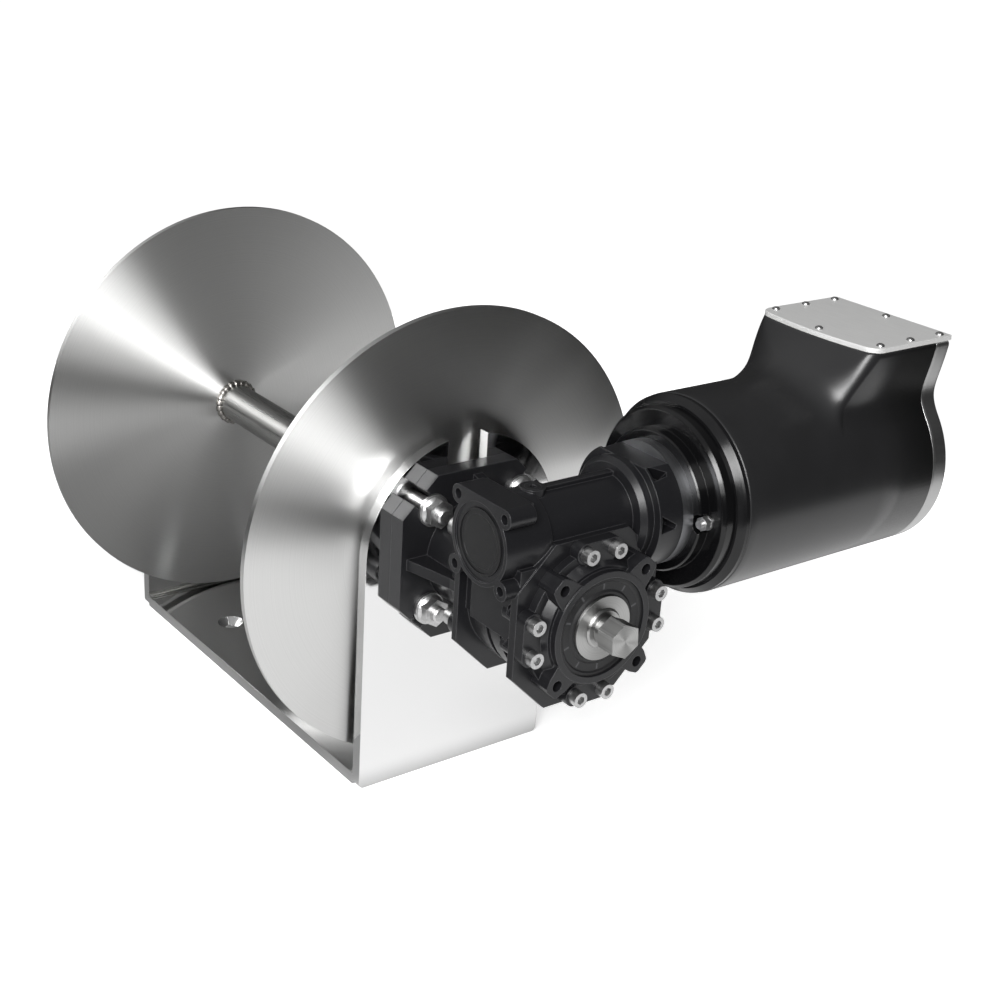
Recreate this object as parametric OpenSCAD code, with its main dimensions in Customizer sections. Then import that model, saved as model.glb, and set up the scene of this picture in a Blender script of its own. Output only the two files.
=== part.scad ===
// Electric anchor winch: a rope spool between two polished uprights, turned by a
// worm reducer and a direct-current motor under a moulded cover.
// X runs along the motor, Y along the spool, Z is up. The origin is the centre of
// the base underside.

/* [Base frame] */
// Width of the base and of both uprights
base_w = 145; // [130:1:180]
// Length over the outer faces of the uprights
base_l = 315; // [280:1:380]
// Thickness of the base and the uprights
plate_t = 8; // [7:0.5:10]
// Height of the spool axis above the deck
axis_h = 160; // [160:1:190]
// Corner radius at the foot of an upright
foot_r = 4; // [1:0.5:6]
// Leg of the weld inside each corner
weld_leg = 4; // [2:0.5:6]
// Gap around the drive shaft in the open slot
slot_gap = 2.5; // [0.5:0.25:3]
// Deck bolt spacing across the base
deck_dx = 77; // [50:1:100]
// Deck bolt spacing along the base
deck_dy = 159; // [100:1:220]
// Deck bolt hole
deck_hole_d = 9; // [6:0.5:11]
// Outer diameter of a deck hole countersink
deck_sink_d = 19; // [15:0.5:20]

/* [Spool] */
// Diameter of a spool disc
disc_d = 300; // [200:1:302]
// Thickness of a spool disc
disc_t = 4; // [2:0.5:6]
// Gap between a disc and its upright
disc_gap = 4; // [2:0.5:8]
// Outer diameter of the rope core tube
core_d = 28; // [27:0.5:34]
// Diameter of the drive shaft
shaft_d = 25; // [24:0.5:25]
// Size of the weld bead at a disc
bead_d = 5; // [3:0.5:8]
// Diameter of the pin that drives the core
pin_d = 6; // [4:0.5:8]
// Distance of the drive pin from its disc
pin_inset = 14; // [10:1:40]
// Width of the key in the gear bore
key_w = 8; // [6:0.5:8]
// Length of the key
key_l = 40; // [25:1:60]
// Length of the hexagon on the shaft end
hex_l = 13; // [8:0.5:20]
// Width of the hexagon across its flats
hex_af = 19; // [15:0.5:21]
// Length of the neck behind the hexagon
neck_l = 5; // [3:0.5:10]
// Diameter of the neck
neck_d = 18; // [14:0.5:20]

/* [Worm reducer] */
// Distance between the wheel and worm axes
centre_dist = 50; // [50:0.25:52]
// Width over the mounting lugs of the reducer
reducer_w = 85; // [85:1:93]
// Height of the pilot ring over the lugs
pilot_step = 0.8; // [0.5:0.1:1.5]
// Distance from the upright to the middle of the reducer
reach = 95; // [93:1:115]
// Number of wheel teeth
wheel_teeth = 30; // [30:1:30]
// Axial module of the worm
worm_module = 2.5; // [2.3:0.05:2.5]
// Pitch diameter of the worm
worm_pitch_d = 25; // [25:0.25:27]
// Play between the worm thread and a wheel tooth
mesh_play = 0.8; // [0.6:0.05:1.2]
// Face width of the wheel teeth
wheel_face = 18; // [12:1:22]
// Outer diameter of the hollow wheel hub
hub_d = 40; // [38:0.5:40]
// Half of the width across the housing frames
frame_half = 52; // [50.5:0.5:56]
// Corner cut of the housing frames
frame_cut = 25; // [18:0.5:28]
// Bolt circle of the mounting lugs
lug_pcd = 85; // [83:0.5:88]
// Diameter of a mounting lug
lug_d = 17; // [15:0.5:18]
// Thread diameter of the lug holes
lug_thread_d = 8; // [6:0.5:8]
// Pilot ring of the output cover
pilot_d = 70; // [69:0.5:72]
// Thread diameter of the output cover screws
cover_screw_d = 6; // [5:0.5:6]
// Half spacing of a pair of cover screws
screw_side = 10.2; // [9:0.1:11]
// Distance of the cover screws from the wheel axis, across the pair
screw_out = 45.5; // [45.5:0.1:47]
// Half length of the worm housing on the closed side
worm_left = 60; // [58:1:66]
// Half spacing of the threaded holes at the closed end
end_hole = 21.7; // [21.5:0.1:22.5]

/* [Mounting flange] */
// Width of the square mounting flange
flange_w = 110; // [106:1:118]
// Corner cut of the mounting flange
flange_cut = 25; // [20:0.5:28]
// Thickness of the mounting flange
flange_t = 12; // [9:0.5:14]
// Bolt circle of the flange on the upright
flange_pcd = 94; // [92:0.5:98]
// Thread diameter of the flange bolts
flange_bolt_d = 10; // [8:0.5:10]

/* [Motor] */
// Distance from the wheel axis to the input face of the housing
input_x = 60; // [60:0.5:66]
// Thickness of the adapter ring at the motor
adapter_t = 8; // [6:0.5:12]
// Diameter of the adapter ring and the input flange
adapter_d = 76.6; // [74:0.2:80]
// Diameter of the motor front plate
motor_d = 113; // [112:0.5:114]
// Diameter of the boss on the motor front plate
boss_d = 88; // [80:0.5:92]
// Height of that boss
boss_h = 7.5; // [5:0.5:10]
// Diameter of the motor can
can_d = 106; // [104:0.5:107]
// Length of the motor can
can_l = 132; // [128:1:134]
// Distance of the through bolts from the motor axis
stud_r = 43; // [42.8:0.1:46]
// Diameter of the motor shaft in the worm
motor_shaft_d = 14; // [12:0.5:15]

/* [Motor cover] */
// Radius of the round body of the cover
cover_r = 62.5; // [62:0.25:66]
// Wall thickness of the cover
cover_wall = 3; // [2:0.25:3]
// Distance from the wheel axis to the cover mouth
mouth_x = 91; // [89:0.5:93]
// Distance from the wheel axis to the outside of the end cap
cover_end_x = 269; // [266:1:280]
// Width of the polished end cap
cap_w = 14; // [10:0.5:16]
// Where the hood starts to rise
rise_x = 138; // [125:1:150]
// Front corners of the top plate
hood_x = 197; // [190:1:202]
// Bow of the front edge of the top plate
hood_bow = 5; // [2:0.5:8]
// Height of the top plate above the motor axis
hood_h = 91; // [86:1:100]
// Half width of the top plate
hood_half = 49.3; // [46:0.1:54]
// Thickness of the top plate
top_t = 3; // [2:0.5:4]

/* [Idle bearing] */
// Outer diameter of the bearing housing on the far upright
idle_d = 86; // [80:1:100]
// Depth of the bearing housing
idle_l = 18; // [14:1:24]
// Wall of the bearing bush
bush_wall = 4; // [3:0.5:6]
// Thread diameter of its bolts
idle_bolt_d = 8; // [6:0.5:8]

/* [Hidden] */
$fn = 96;

// Gap of a close fit, all round
fit = 0.05;
// Gap that keeps a turning face off a still one
run = 0.3;
// How far a cut runs past the face it opens
over = 1;

plate_y = base_l / 2 - plate_t;
wheel_y = -base_l / 2 - reach;
worm_h = axis_h + centre_dist;
half_w = reducer_w / 2;
bore_d = shaft_d + 2 * fit;
disc_y = plate_y - disc_gap;
slot_w = shaft_d + 2 * slot_gap;
flange_bolt_at = flange_pcd / 2 / sqrt(2);
lug_at = lug_pcd / 2 / sqrt(2);
lug_out = 6.8;
lug_face = half_w;
wall_face = half_w - lug_out;
pilot_face = lug_face + pilot_step;
hub_face = pilot_face + run;

// Deep groove ball bearings: outer diameter, bore, width
wheel_bearing = [68, hub_d, 15];
left_bearing = [40, 17, 12];
input_bearing = [55, 30, 13];
motor_bearing = [40, 17, 12];

// Stations of the wheel shaft, from the middle plane outwards
wheel_shoulder = wall_face - 16.2;
seal_y = wheel_shoulder + wheel_bearing[2];
seal_d = 62;

// Worm and wheel
worm_pitch_r = worm_pitch_d / 2;
axial_pitch = PI * worm_module;
worm_tip_r = worm_pitch_r + worm_module;
worm_root_r = worm_pitch_r - 1.2 * worm_module;
wheel_pitch_r = centre_dist - worm_pitch_r;
wheel_root_r = wheel_pitch_r - 1.2 * worm_module;
wheel_tip_r = wheel_pitch_r + worm_module;
tooth_press = 20;
cavity_r = 42.2;
tooth_step = 360 / wheel_teeth;

// Stations along the worm axis
left_seat = 22;
worm_bore_r = worm_tip_r + 2.5;
collar_x = 34;
flange_x = 42;
input_seat_x = collar_x + 2;
seal_seat_x = input_seat_x + input_bearing[2];
adapter_x1 = input_x + adapter_t;
motor_x = adapter_x1 + boss_h;
front_plate_t = 12;
can_x0 = motor_x + front_plate_t;
can_x1 = can_x0 + can_l;
bell_t = 14;
bell_x1 = can_x1 + bell_t;
can_wall = 4;
magnet_t = 9;
cap_x0 = cover_end_x - cap_w;
armature_r = can_d / 2 - can_wall - magnet_t - 0.7;

module at_spool() {
    translate([0, 0, axis_h]) children();
}

module at_wheel() {
    translate([0, wheel_y, axis_h]) children();
}

module at_worm() {
    translate([0, wheel_y, worm_h]) children();
}

// A bar along Y or X between two stations
module bar_y(d, y0, y1) {
    translate([0, y0, 0]) rotate([-90, 0, 0]) cylinder(d = d, h = y1 - y0);
}

module bar_x(d, x0, x1) {
    translate([x0, 0, 0]) rotate([0, 90, 0]) cylinder(d = d, h = x1 - x0);
}

module tube_y(od, id, y0, y1) {
    difference() {
        bar_y(od, y0, y1);
        bar_y(id, y0 - over, y1 + over);
    }
}

module tube_x(od, id, x0, x1) {
    difference() {
        bar_x(od, x0, x1);
        bar_x(id, x0 - over, x1 + over);
    }
}

// An outline in X and Z carried along Y, or in Y and Z carried along X
module slab_y(y0, y1) {
    translate([0, y1, 0]) rotate([90, 0, 0]) linear_extrude(y1 - y0) children();
}

module slab_x(x0, x1) {
    translate([x0, 0, 0]) rotate([90, 0, 90]) linear_extrude(x1 - x0) children();
}

// Outlines turned about the Y or X axis: points are radius, station
module turn_y(points) {
    rotate([-90, 0, 0]) rotate_extrude() polygon(points);
}

module turn_x(points) {
    rotate([0, 90, 0]) rotate_extrude() polygon(points);
}

// Four places at the corners of a square in the X, Z plane
module at_corners(d) {
    for (x = [-d, d], z = [-d, d]) translate([x, 0, z]) children();
}

// Square with cut corners
module cut_square(half, cut) {
    a = half;
    b = half - cut;
    polygon([[-a, -b], [-b, -a], [b, -a], [a, -b], [a, b], [b, a], [-b, a], [-a, b]]);
}

module hex_y(af, y0, y1) {
    translate([0, y0, 0]) rotate([-90, 0, 0]) rotate([0, 0, 90])
        cylinder(d = af * 2 / sqrt(3), h = y1 - y0, $fn = 6);
}

module hex_x(af, x0, x1) {
    translate([x0, 0, 0]) rotate([0, 90, 0]) cylinder(d = af * 2 / sqrt(3), h = x1 - x0, $fn = 6);
}

// Socket head screw along Y: its head lies below y = 0, its shank above
module cap_screw_y(d, grip) {
    head_d = d * 1.6;
    difference() {
        union() {
            bar_y(head_d, -d, 0);
            bar_y(d, -0.01, grip);
        }
        hex_y(d * 0.8, -d - over, -d * 0.4);
    }
}

module cap_screw_x(d, grip) {
    rotate([0, 0, -90]) cap_screw_y(d, grip);
}

// Rings of a ball bearing, turned about Z, from z = 0 to its width
function race_r(b) = (b[0] + b[1]) / 4;
function ball_d(b) = (b[0] - b[1]) * 0.3;

module race_outer(b) {
    difference() {
        cylinder(d = b[0] - 2 * fit, h = b[2]);
        translate([0, 0, -over]) cylinder(r = race_r(b) + ball_d(b) * 0.28, h = b[2] + 2 * over);
        translate([0, 0, b[2] / 2]) rotate_extrude()
            translate([race_r(b), 0]) circle(d = ball_d(b) + 2 * fit, $fn = 48);
    }
}

module race_inner(b) {
    difference() {
        cylinder(r = race_r(b) - ball_d(b) * 0.28, h = b[2]);
        translate([0, 0, -over]) cylinder(d = b[1] + 2 * fit, h = b[2] + 2 * over);
        translate([0, 0, b[2] / 2]) rotate_extrude()
            translate([race_r(b), 0]) circle(d = ball_d(b) + 2 * run, $fn = 48);
    }
}

// Balls in their cage
module ball_cage(b) {
    count = floor(PI * 2 * race_r(b) / (ball_d(b) * 1.35));
    cage_t = ball_d(b) * 0.16;
    translate([0, 0, b[2] / 2]) {
        difference() {
            translate([0, 0, -ball_d(b) / 3]) cylinder(r = race_r(b) + cage_t, h = ball_d(b) / 1.5);
            translate([0, 0, -ball_d(b)]) cylinder(r = race_r(b) - cage_t, h = 2 * ball_d(b));
        }
        for (i = [0:count - 1]) rotate([0, 0, i * 360 / count])
            translate([race_r(b), 0, 0]) sphere(d = ball_d(b), $fn = 32);
    }
}

module along_y(y) {
    translate([0, y, 0]) rotate([-90, 0, 0]) children();
}

module along_x(x) {
    translate([x, 0, 0]) rotate([0, 90, 0]) children();
}

module at_wheel_bearings() {
    along_y(wheel_shoulder) children();
    along_y(-wheel_shoulder - wheel_bearing[2]) children();
}

// Base frame

module base_plate() {
    sink_h = (deck_sink_d - deck_hole_d) / 2;
    color("gainsboro") difference() {
        translate([-base_w / 2, -plate_y, 0]) cube([base_w, 2 * plate_y, plate_t]);
        for (x = [-deck_dx / 2, deck_dx / 2], y = [-deck_dy / 2, deck_dy / 2]) translate([x, y, 0]) {
            translate([0, 0, -over]) cylinder(d = deck_hole_d, h = plate_t + 2 * over);
            translate([0, 0, plate_t - sink_h]) cylinder(d1 = deck_hole_d, d2 = deck_sink_d, h = sink_h);
            translate([0, 0, plate_t - 0.01]) cylinder(d = deck_sink_d, h = over);
        }
    }
}

module upright_outline() {
    translate([-base_w / 2, foot_r]) square([base_w, axis_h - foot_r]);
    translate([foot_r - base_w / 2, 0]) square([base_w - 2 * foot_r, axis_h]);
    for (side = [-1, 1]) translate([side * (base_w / 2 - foot_r), foot_r]) circle(r = foot_r);
    translate([0, axis_h]) circle(d = base_w);
}

// Head of a countersunk flange bolt: its cone ends flush with the inner face
sunk_head_d = flange_bolt_d * 1.9;
sunk_head_h = (sunk_head_d - flange_bolt_d) / 2;

module gear_side_plate() {
    color("gainsboro") difference() {
        slab_y(-base_l / 2, -plate_y) upright_outline();
        at_spool() {
            bar_y(slot_w, -base_l / 2 - over, -plate_y + over);
            translate([-slot_w / 2, -base_l / 2 - over, 0]) cube([slot_w, plate_t + 2 * over, base_w]);
            at_corners(flange_bolt_at) {
                bar_y(flange_bolt_d + 2 * fit, -base_l / 2 - over, -plate_y + over);
                turn_y([[0, -plate_y - sunk_head_h], [flange_bolt_d / 2 + fit, -plate_y - sunk_head_h],
                    [sunk_head_d / 2 + fit, -plate_y], [sunk_head_d / 2 + fit, -plate_y + over],
                    [0, -plate_y + over]]);
            }
        }
    }
}

idle_bore_d = shaft_d + 2 * bush_wall + 2 * fit;
idle_bolt_at = (idle_d / 2 - idle_bolt_d * 1.2) / sqrt(2);

module idle_side_plate() {
    color("gainsboro") difference() {
        slab_y(plate_y, base_l / 2) upright_outline();
        at_spool() {
            bar_y(idle_bore_d + 2 * slot_gap, plate_y - over, base_l / 2 + over);
            at_corners(idle_bolt_at) {
                bar_y(idle_bolt_d + 2 * fit, plate_y - over, base_l / 2 + over);
                turn_y([[0, plate_y - over], [idle_head_d / 2 + fit, plate_y - over],
                    [idle_head_d / 2 + fit, plate_y], [idle_bolt_d / 2 + fit, plate_y + idle_head_h],
                    [0, plate_y + idle_head_h]]);
            }
        }
    }
}

module corner_welds() {
    color("silver") for (side = [-1, 1]) scale([1, side, 1])
        translate([-base_w / 2, plate_y, plate_t]) rotate([90, 0, 90]) linear_extrude(base_w) difference() {
            translate([-weld_leg, 0]) square(weld_leg);
            translate([-weld_leg, weld_leg]) circle(r = weld_leg * 0.92);
        }
}

// Mounting flange between the reducer and the upright

flange_y1 = reach;
flange_y0 = flange_y1 - flange_t;
foot_t = 12;
flange_foot = half_w + foot_t;

module mounting_flange() {
    slot_d = flange_bolt_d + 1.5;
    color("dimgray") at_wheel() difference() {
        union() {
            slab_y(flange_y0, flange_y1) cut_square(flange_w / 2, flange_cut);
            bar_y(pilot_d + 10, lug_face, flange_foot - 4);
            bar_y(pilot_d + 2, lug_face + 3, flange_y0 + 1);
            // Lugs on the reducer side
            at_corners(lug_at) bar_y(lug_d, lug_face, flange_foot);
            // Ribs from the neck to the flange
            for (a = [0:90:270]) rotate([0, a, 0]) translate([-3.5, 0, 0]) rotate([90, 0, 90])
                linear_extrude(7) polygon([[lug_face + 1, 0], [lug_face + 1, pilot_d / 2 + 8],
                    [flange_foot - 6, pilot_d / 2 + 8], [flange_y0 + 1, flange_w / 2 - 4], [flange_y0 + 1, 0]]);
        }
        // Passage for the shaft and recess over the pilot ring of the reducer
        bar_y(slot_w + 24, lug_face - over, flange_y1 + over);
        bar_y(pilot_d + 2 * fit, lug_face - over, lug_face + 2);
        // Open slots for the bolts at the cut corners
        for (a = [45:90:315]) rotate([0, a, 0]) {
            translate([0, 0, flange_pcd / 2]) bar_y(slot_d, flange_y0 - 1, flange_y1 + over);
            translate([-slot_d / 2, flange_y0 - 1, flange_pcd / 2])
                cube([slot_d, flange_t + 1 + over, flange_w]);
            translate([0, 0, lug_pcd / 2]) bar_y(lug_thread_d + 2 * fit, lug_face - over, flange_foot + over);
        }
    }
}

flange_washer_d = flange_bolt_d * 2.1;
washer_t = 2;
nut_h = flange_bolt_d * 0.8;

module at_flange_bolts() {
    at_spool() at_corners(flange_bolt_at) children();
}

flange_front = -base_l / 2 - flange_t;

module flange_bolts() {
    bolt_end = flange_front - washer_t - nut_h - 4;
    color("silver") at_flange_bolts() {
        difference() {
            turn_y([[0, bolt_end], [flange_bolt_d / 2 - 1, bolt_end], [flange_bolt_d / 2, bolt_end + 1],
                [flange_bolt_d / 2, -plate_y - sunk_head_h], [sunk_head_d / 2, -plate_y], [0, -plate_y]]);
            hex_y(flange_bolt_d * 0.6, -plate_y - sunk_head_h * 0.6, -plate_y + over);
        }
    }
}

module flange_washers() {
    color("silver") at_flange_bolts()
        tube_y(flange_washer_d, flange_bolt_d + 2 * fit, flange_front - washer_t, flange_front);
}

module flange_nuts() {
    y1 = flange_front - washer_t;
    color("silver") at_flange_bolts() difference() {
        union() {
            hex_y(flange_bolt_d * 1.6, y1 - nut_h, y1);
            turn_y([[0, y1 - 3], [flange_bolt_d * 0.8, y1 - 3], [flange_bolt_d * 0.98, y1 - 1], [flange_bolt_d * 0.98, y1], [0, y1]]);
        }
        bar_y(flange_bolt_d + 2 * fit, y1 - nut_h - over, y1 + over);
    }
}

module flange_screws() {
    color("silver") at_wheel() at_corners(lug_at) rotate([0, 0, 180]) translate([0, -flange_foot, 0])
        cap_screw_y(lug_thread_d, foot_t + 14);
}

// Worm reducer

cover_plate_t = 7.5;
frame_front = wall_face - cover_plate_t;
frame_t = 5.7;
rear_frame = wall_face - 4.2;
rear_frame_t = 4.5;
barrel_r = frame_half - 5;
groove_w = 4;
groove_t = 2;
recess_y = 17.5;
flat_bottom = -6;
tube_r = 23.5;
end_r = 26;
collar_r = 33;
input_flat = 32.3;
boss_r = 5.8;

module at_end_holes() {
    for (y = [-end_hole, end_hole], z = [-end_hole, end_hole]) translate([0, y, z]) children();
}

module reducer_body() {
    // Thin frames at the front and the rear of a grooved barrel
    slab_y(-frame_front, frame_t - frame_front) cut_square(frame_half, frame_cut);
    slab_y(rear_frame - rear_frame_t, rear_frame) cut_square(frame_half, frame_cut);
    difference() {
        bar_y(2 * barrel_r, 1 - frame_front, wall_face);
        for (y = [-10.5, 2.5]) tube_y(frame_half * 3, 2 * (barrel_r - groove_t), y, y + groove_w);
        tube_y(frame_half * 3, 2 * (barrel_r - groove_t), recess_y, rear_frame - rear_frame_t);
    }
    // Bosses for the screws of the output cover
    for (a = [0:90:270]) rotate([0, a, 0]) for (x = [-screw_side, screw_side])
        translate([x, 0, screw_out]) bar_y(cover_screw_d + 5, 1 - frame_front, 2 - frame_front + 13);
    // Lugs on the rear face, with the pilot ring
    for (a = [45:90:315]) rotate([0, a, 0]) translate([0, 0, lug_pcd / 2])
        bar_y(lug_d, rear_frame - 1, lug_face);
    bar_y(pilot_d, wall_face - 1, pilot_face);
    // Flat sides between the barrel and the worm housing, set back at the rear
    translate([2 - frame_half, 1 - frame_front, flat_bottom])
        cube([2 * frame_half - 12, frame_front - 1 + recess_y, centre_dist - 10 - flat_bottom]);
    translate([6 - frame_half, recess_y - 1, flat_bottom])
        cube([2 * frame_half - 16, rear_frame - recess_y, centre_dist - 10 - flat_bottom]);
    translate([0, 0, centre_dist]) {
        bar_x(2 * tube_r, -worm_left + left_seat, collar_x + 1);
        bar_x(2 * end_r, -worm_left, -worm_left + 32);
        // Block around the upper holes of the closed end, and single lugs below
        slab_x(-worm_left, -worm_left + 20)
            translate([-end_hole, end_hole - boss_r]) square([2 * end_hole, 2 * boss_r]);
        at_end_holes() bar_x(2 * boss_r, -worm_left, -worm_left + 18);
        // Rib and oil boss along the top
        translate([-worm_left + 24, -2.5, 0]) cube([collar_x + worm_left - 23, 5, tube_r + 2.5]);
        translate([-worm_left + 36, 0, 0]) cylinder(d = 15, h = end_r + 1);
        // Collar and input flange: a disc with flats above and below
        turn_x([[0, collar_x], [collar_r - 3, collar_x], [collar_r, collar_x + 3], [collar_r, flange_x + 1],
            [0, flange_x + 1]]);
        slab_x(flange_x, input_x) intersection() {
            circle(d = adapter_d);
            square([2 * adapter_d, 2 * input_flat], center = true);
        }
    }
}

module gearbox_housing() {
    color("dimgray") at_wheel() difference() {
        reducer_body();
        // Wheel chamber, bearing seat and seal seat
        bar_y(2 * cavity_r, -frame_front - over, wheel_shoulder);
        bar_y(wheel_bearing[0], wheel_shoulder - 0.01, seal_y + 0.5);
        bar_y(seal_d, seal_y, pilot_face + over);
        // Worm chamber and its two bearing seats
        translate([0, 0, centre_dist]) {
            bar_x(2 * worm_bore_r, -worm_left + left_seat - over, input_seat_x + over);
            bar_x(left_bearing[0], -worm_left - over, -worm_left + left_seat);
            bar_x(2 * end_r - 5, -worm_left - over, -worm_left + 1.2);
            bar_x(input_bearing[0], input_seat_x, input_x + over);
            at_end_holes() bar_x(6, -worm_left - over, -worm_left + 16);
            // Three-cornered pockets in the rim of the input flange
            for (a = [-142, -86, -38, 38, 86, 142]) rotate([a, 0, 0]) translate([flange_x, 0, 29])
                linear_extrude(12) polygon([[1.6, -5.5], [1.6, 5.5], [13, -1.5], [12, -4]]);
            at_adapter_screws() bar_x(5, input_x - 11.5, input_x + over);
            translate([-worm_left + 36, 0, end_r - 6]) cylinder(d = 10, h = 12);
        }
        // Threaded holes of the cover and of the rear lugs
        for (a = [0:90:270]) rotate([0, a, 0]) for (x = [-screw_side, screw_side])
            translate([x, 0, screw_out]) bar_y(cover_screw_d, -frame_front - over, -frame_front + 13);
        at_corners(lug_at) bar_y(lug_thread_d, lug_face - 15, lug_face + over);
        // Room for a lug of the output cover in the collar
        at_corners(lug_at) bar_y(lug_d + 2 * run, -lug_face - over, -frame_front + 0.01);
        // Three-cornered pockets in the flat side, behind the front frame and clear of the screws
        difference() {
            slab_x(-frame_half - over, 6 - frame_half) translate([frame_t - frame_front, 0]) {
                polygon([[0, 20], [5, 15.4], [5, 10.2], [0, 10.2]]);
                polygon([[0, 0], [7, -10.2], [0, -10.2]]);
            }
            for (z = [-screw_side, screw_side]) translate([-screw_out, 0, z])
                bar_y(cover_screw_d + 2.5, -frame_front, 0);
        }
    }
}

plate_r = frame_half - 5.5;
floor_t = 2;
lug_core_d = lug_thread_d - 1.2;
ear_end = lug_pcd / 2 + 6.5;

// Flats under the pairs of cover screws
module screw_flats() {
    for (a = [0:90:270]) rotate(a) {
        translate([-screw_side, 0]) square([2 * screw_side, frame_half]);
        for (x = [-screw_side, screw_side]) translate([x, screw_out]) circle(r = frame_half - screw_out);
    }
}

// Lugs of the cover: ears that widen towards the pilot ring
module ears() {
    for (a = [45:90:315]) rotate(a) polygon([[-10, pilot_d / 2 - 6], [-7.6, lug_pcd / 2],
        [-5.4, ear_end - 1], [-3.5, ear_end], [3.5, ear_end], [5.4, ear_end - 1], [7.6, lug_pcd / 2],
        [10, pilot_d / 2 - 6]]);
}

module output_cover() {
    color("dimgray") at_wheel() difference() {
        union() {
            slab_y(-wall_face, -frame_front) screw_flats();
            bar_y(2 * plate_r, floor_t - wall_face, -frame_front);
            bar_y(2 * (cavity_r - fit), floor_t + 1 - wall_face, -wheel_shoulder);
            // Ring with a sloped foot, the pilot ring on it and the ears
            turn_y([[0, -wall_face - 3.2], [pilot_d / 2 + 2, -wall_face - 3.2],
                [pilot_d / 2 + 6, floor_t - wall_face], [pilot_d / 2 + 6, floor_t + 1 - wall_face],
                [0, floor_t + 1 - wall_face]]);
            bar_y(pilot_d, -pilot_face, 3 - wall_face);
            slab_y(-lug_face, -frame_front) ears();
        }
        bar_y(wheel_bearing[0], -seal_y - 0.5, -wheel_shoulder + over);
        bar_y(seal_d, -pilot_face - over, -seal_y);
        at_corners(lug_at) bar_y(lug_core_d, -lug_face - over, -lug_face + 13);
        for (a = [0:90:270]) rotate([0, a, 0]) for (x = [-screw_side, screw_side])
            translate([x, 0, screw_out]) bar_y(cover_screw_d + 2 * fit, -wall_face - over, -frame_front + over);
    }
}

module cover_screws() {
    color("silver") at_wheel() for (a = [0:90:270]) rotate([0, a, 0]) for (x = [-screw_side, screw_side])
        translate([x, -wall_face, screw_out]) cap_screw_y(cover_screw_d - 2 * fit, 20);
}

module output_seals() {
    seal_t = 8;
    color("#303030") at_wheel() for (side = [-1, 1]) scale([1, side, 1])
        turn_y([[hub_d / 2 + run, seal_y + 0.5], [seal_d / 2 - fit, seal_y + 0.5],
            [seal_d / 2 - fit, seal_y + seal_t - 0.6], [seal_d / 2 - 2, seal_y + seal_t - 0.6],
            [seal_d / 2 - 3, seal_y + seal_t - 1.4], [hub_d / 2 + 3.2, seal_y + seal_t - 1.4],
            [hub_d / 2 + 2, seal_y + seal_t - 0.4], [hub_d / 2 + run, seal_y + seal_t - 0.4]]);
}

module wheel_bearing_outers() {
    color("lightsteelblue") at_wheel() at_wheel_bearings() race_outer(wheel_bearing);
}

module wheel_bearing_cages() {
    color("goldenrod") at_wheel() at_wheel_bearings() ball_cage(wheel_bearing);
}

module wheel_bearing_inners() {
    color("lightsteelblue") at_wheel() at_wheel_bearings() race_inner(wheel_bearing);
}

module worm_end_plug() {
    plug_r = left_bearing[0] / 2 - fit;
    color("#3a3a3a") at_worm() turn_x([[0, -worm_left + 0.8], [plug_r - 1.5, -worm_left + 0.8],
        [plug_r - 1.5, -worm_left + 0.2], [plug_r, -worm_left + 0.2], [plug_r, -worm_left + 7],
        [plug_r - 3, -worm_left + 7], [plug_r - 3, -worm_left + 3], [0, -worm_left + 3]]);
}

module oil_plug() {
    color("silver") at_worm() translate([-worm_left + 36, 0, end_r - 6 + 0.01]) difference() {
        cylinder(d = 10 - 2 * fit, h = 7);
        translate([0, 0, 4]) cylinder(d = 4.6, h = 6, $fn = 6);
    }
}

module at_rotor_bearings() {
    at_worm() {
        along_x(-worm_left + left_seat - left_bearing[2]) children(0);
        along_x(input_seat_x + fit) children(1);
        along_x(motor_x + 0.5) children(2);
        along_x(can_x1 + 1) children(2);
    }
}

module rotor_bearing_outers() {
    color("lightsteelblue") at_rotor_bearings() {
        race_outer(left_bearing);
        race_outer(input_bearing);
        race_outer(motor_bearing);
    }
}

module rotor_bearing_cages() {
    color("goldenrod") at_rotor_bearings() {
        ball_cage(left_bearing);
        ball_cage(input_bearing);
        ball_cage(motor_bearing);
    }
}

module rotor_bearing_inners() {
    color("lightsteelblue") at_rotor_bearings() {
        race_inner(left_bearing);
        race_inner(input_bearing);
        race_inner(motor_bearing);
    }
}

module input_seal() {
    color("#303030") at_worm()
        tube_x(input_bearing[0] - 2 * fit, input_bearing[1] + 2 * run, seal_seat_x + 0.5, seal_seat_x + 7.5);
}

// Worm and wheel teeth

function involute(a) = tan(a) - a * PI / 180;

// Half angle of a wheel tooth at a radius, on an involute of the base circle
function tooth_half(r) =
    let (base_r = wheel_pitch_r * cos(tooth_press),
        pitch_half = (axial_pitch - mesh_play) / 4 / wheel_pitch_r,
        turn = involute(tooth_press) - (r > base_r ? involute(acos(base_r / r)) : 0))
    max(0.4 / r, pitch_half + turn) * 180 / PI;

// Angle by which the worm's helix turns a point of a tooth off the middle plane
function helix_turn(y, r) = atan2(y, centre_dist - r) / 360 * tooth_step;

// Tip radius of a tooth, hollowed to follow the worm
function throat(y) =
    min(wheel_tip_r + 0.6, centre_dist - sqrt(max(0, pow(worm_root_r + 0.5 + 0.2 * worm_module, 2) - y * y)));

function tooth_section(y) = [
    for (side = [-1, 1]) for (k = [0:3])
        let (level = side < 0 ? k : 3 - k,
            r = wheel_root_r - 1 + (throat(y) - wheel_root_r + 1) * level / 3,
            a = side * tooth_half(r) + helix_turn(y, r))
        [r * sin(a), y, r * cos(a)]
];

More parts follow.
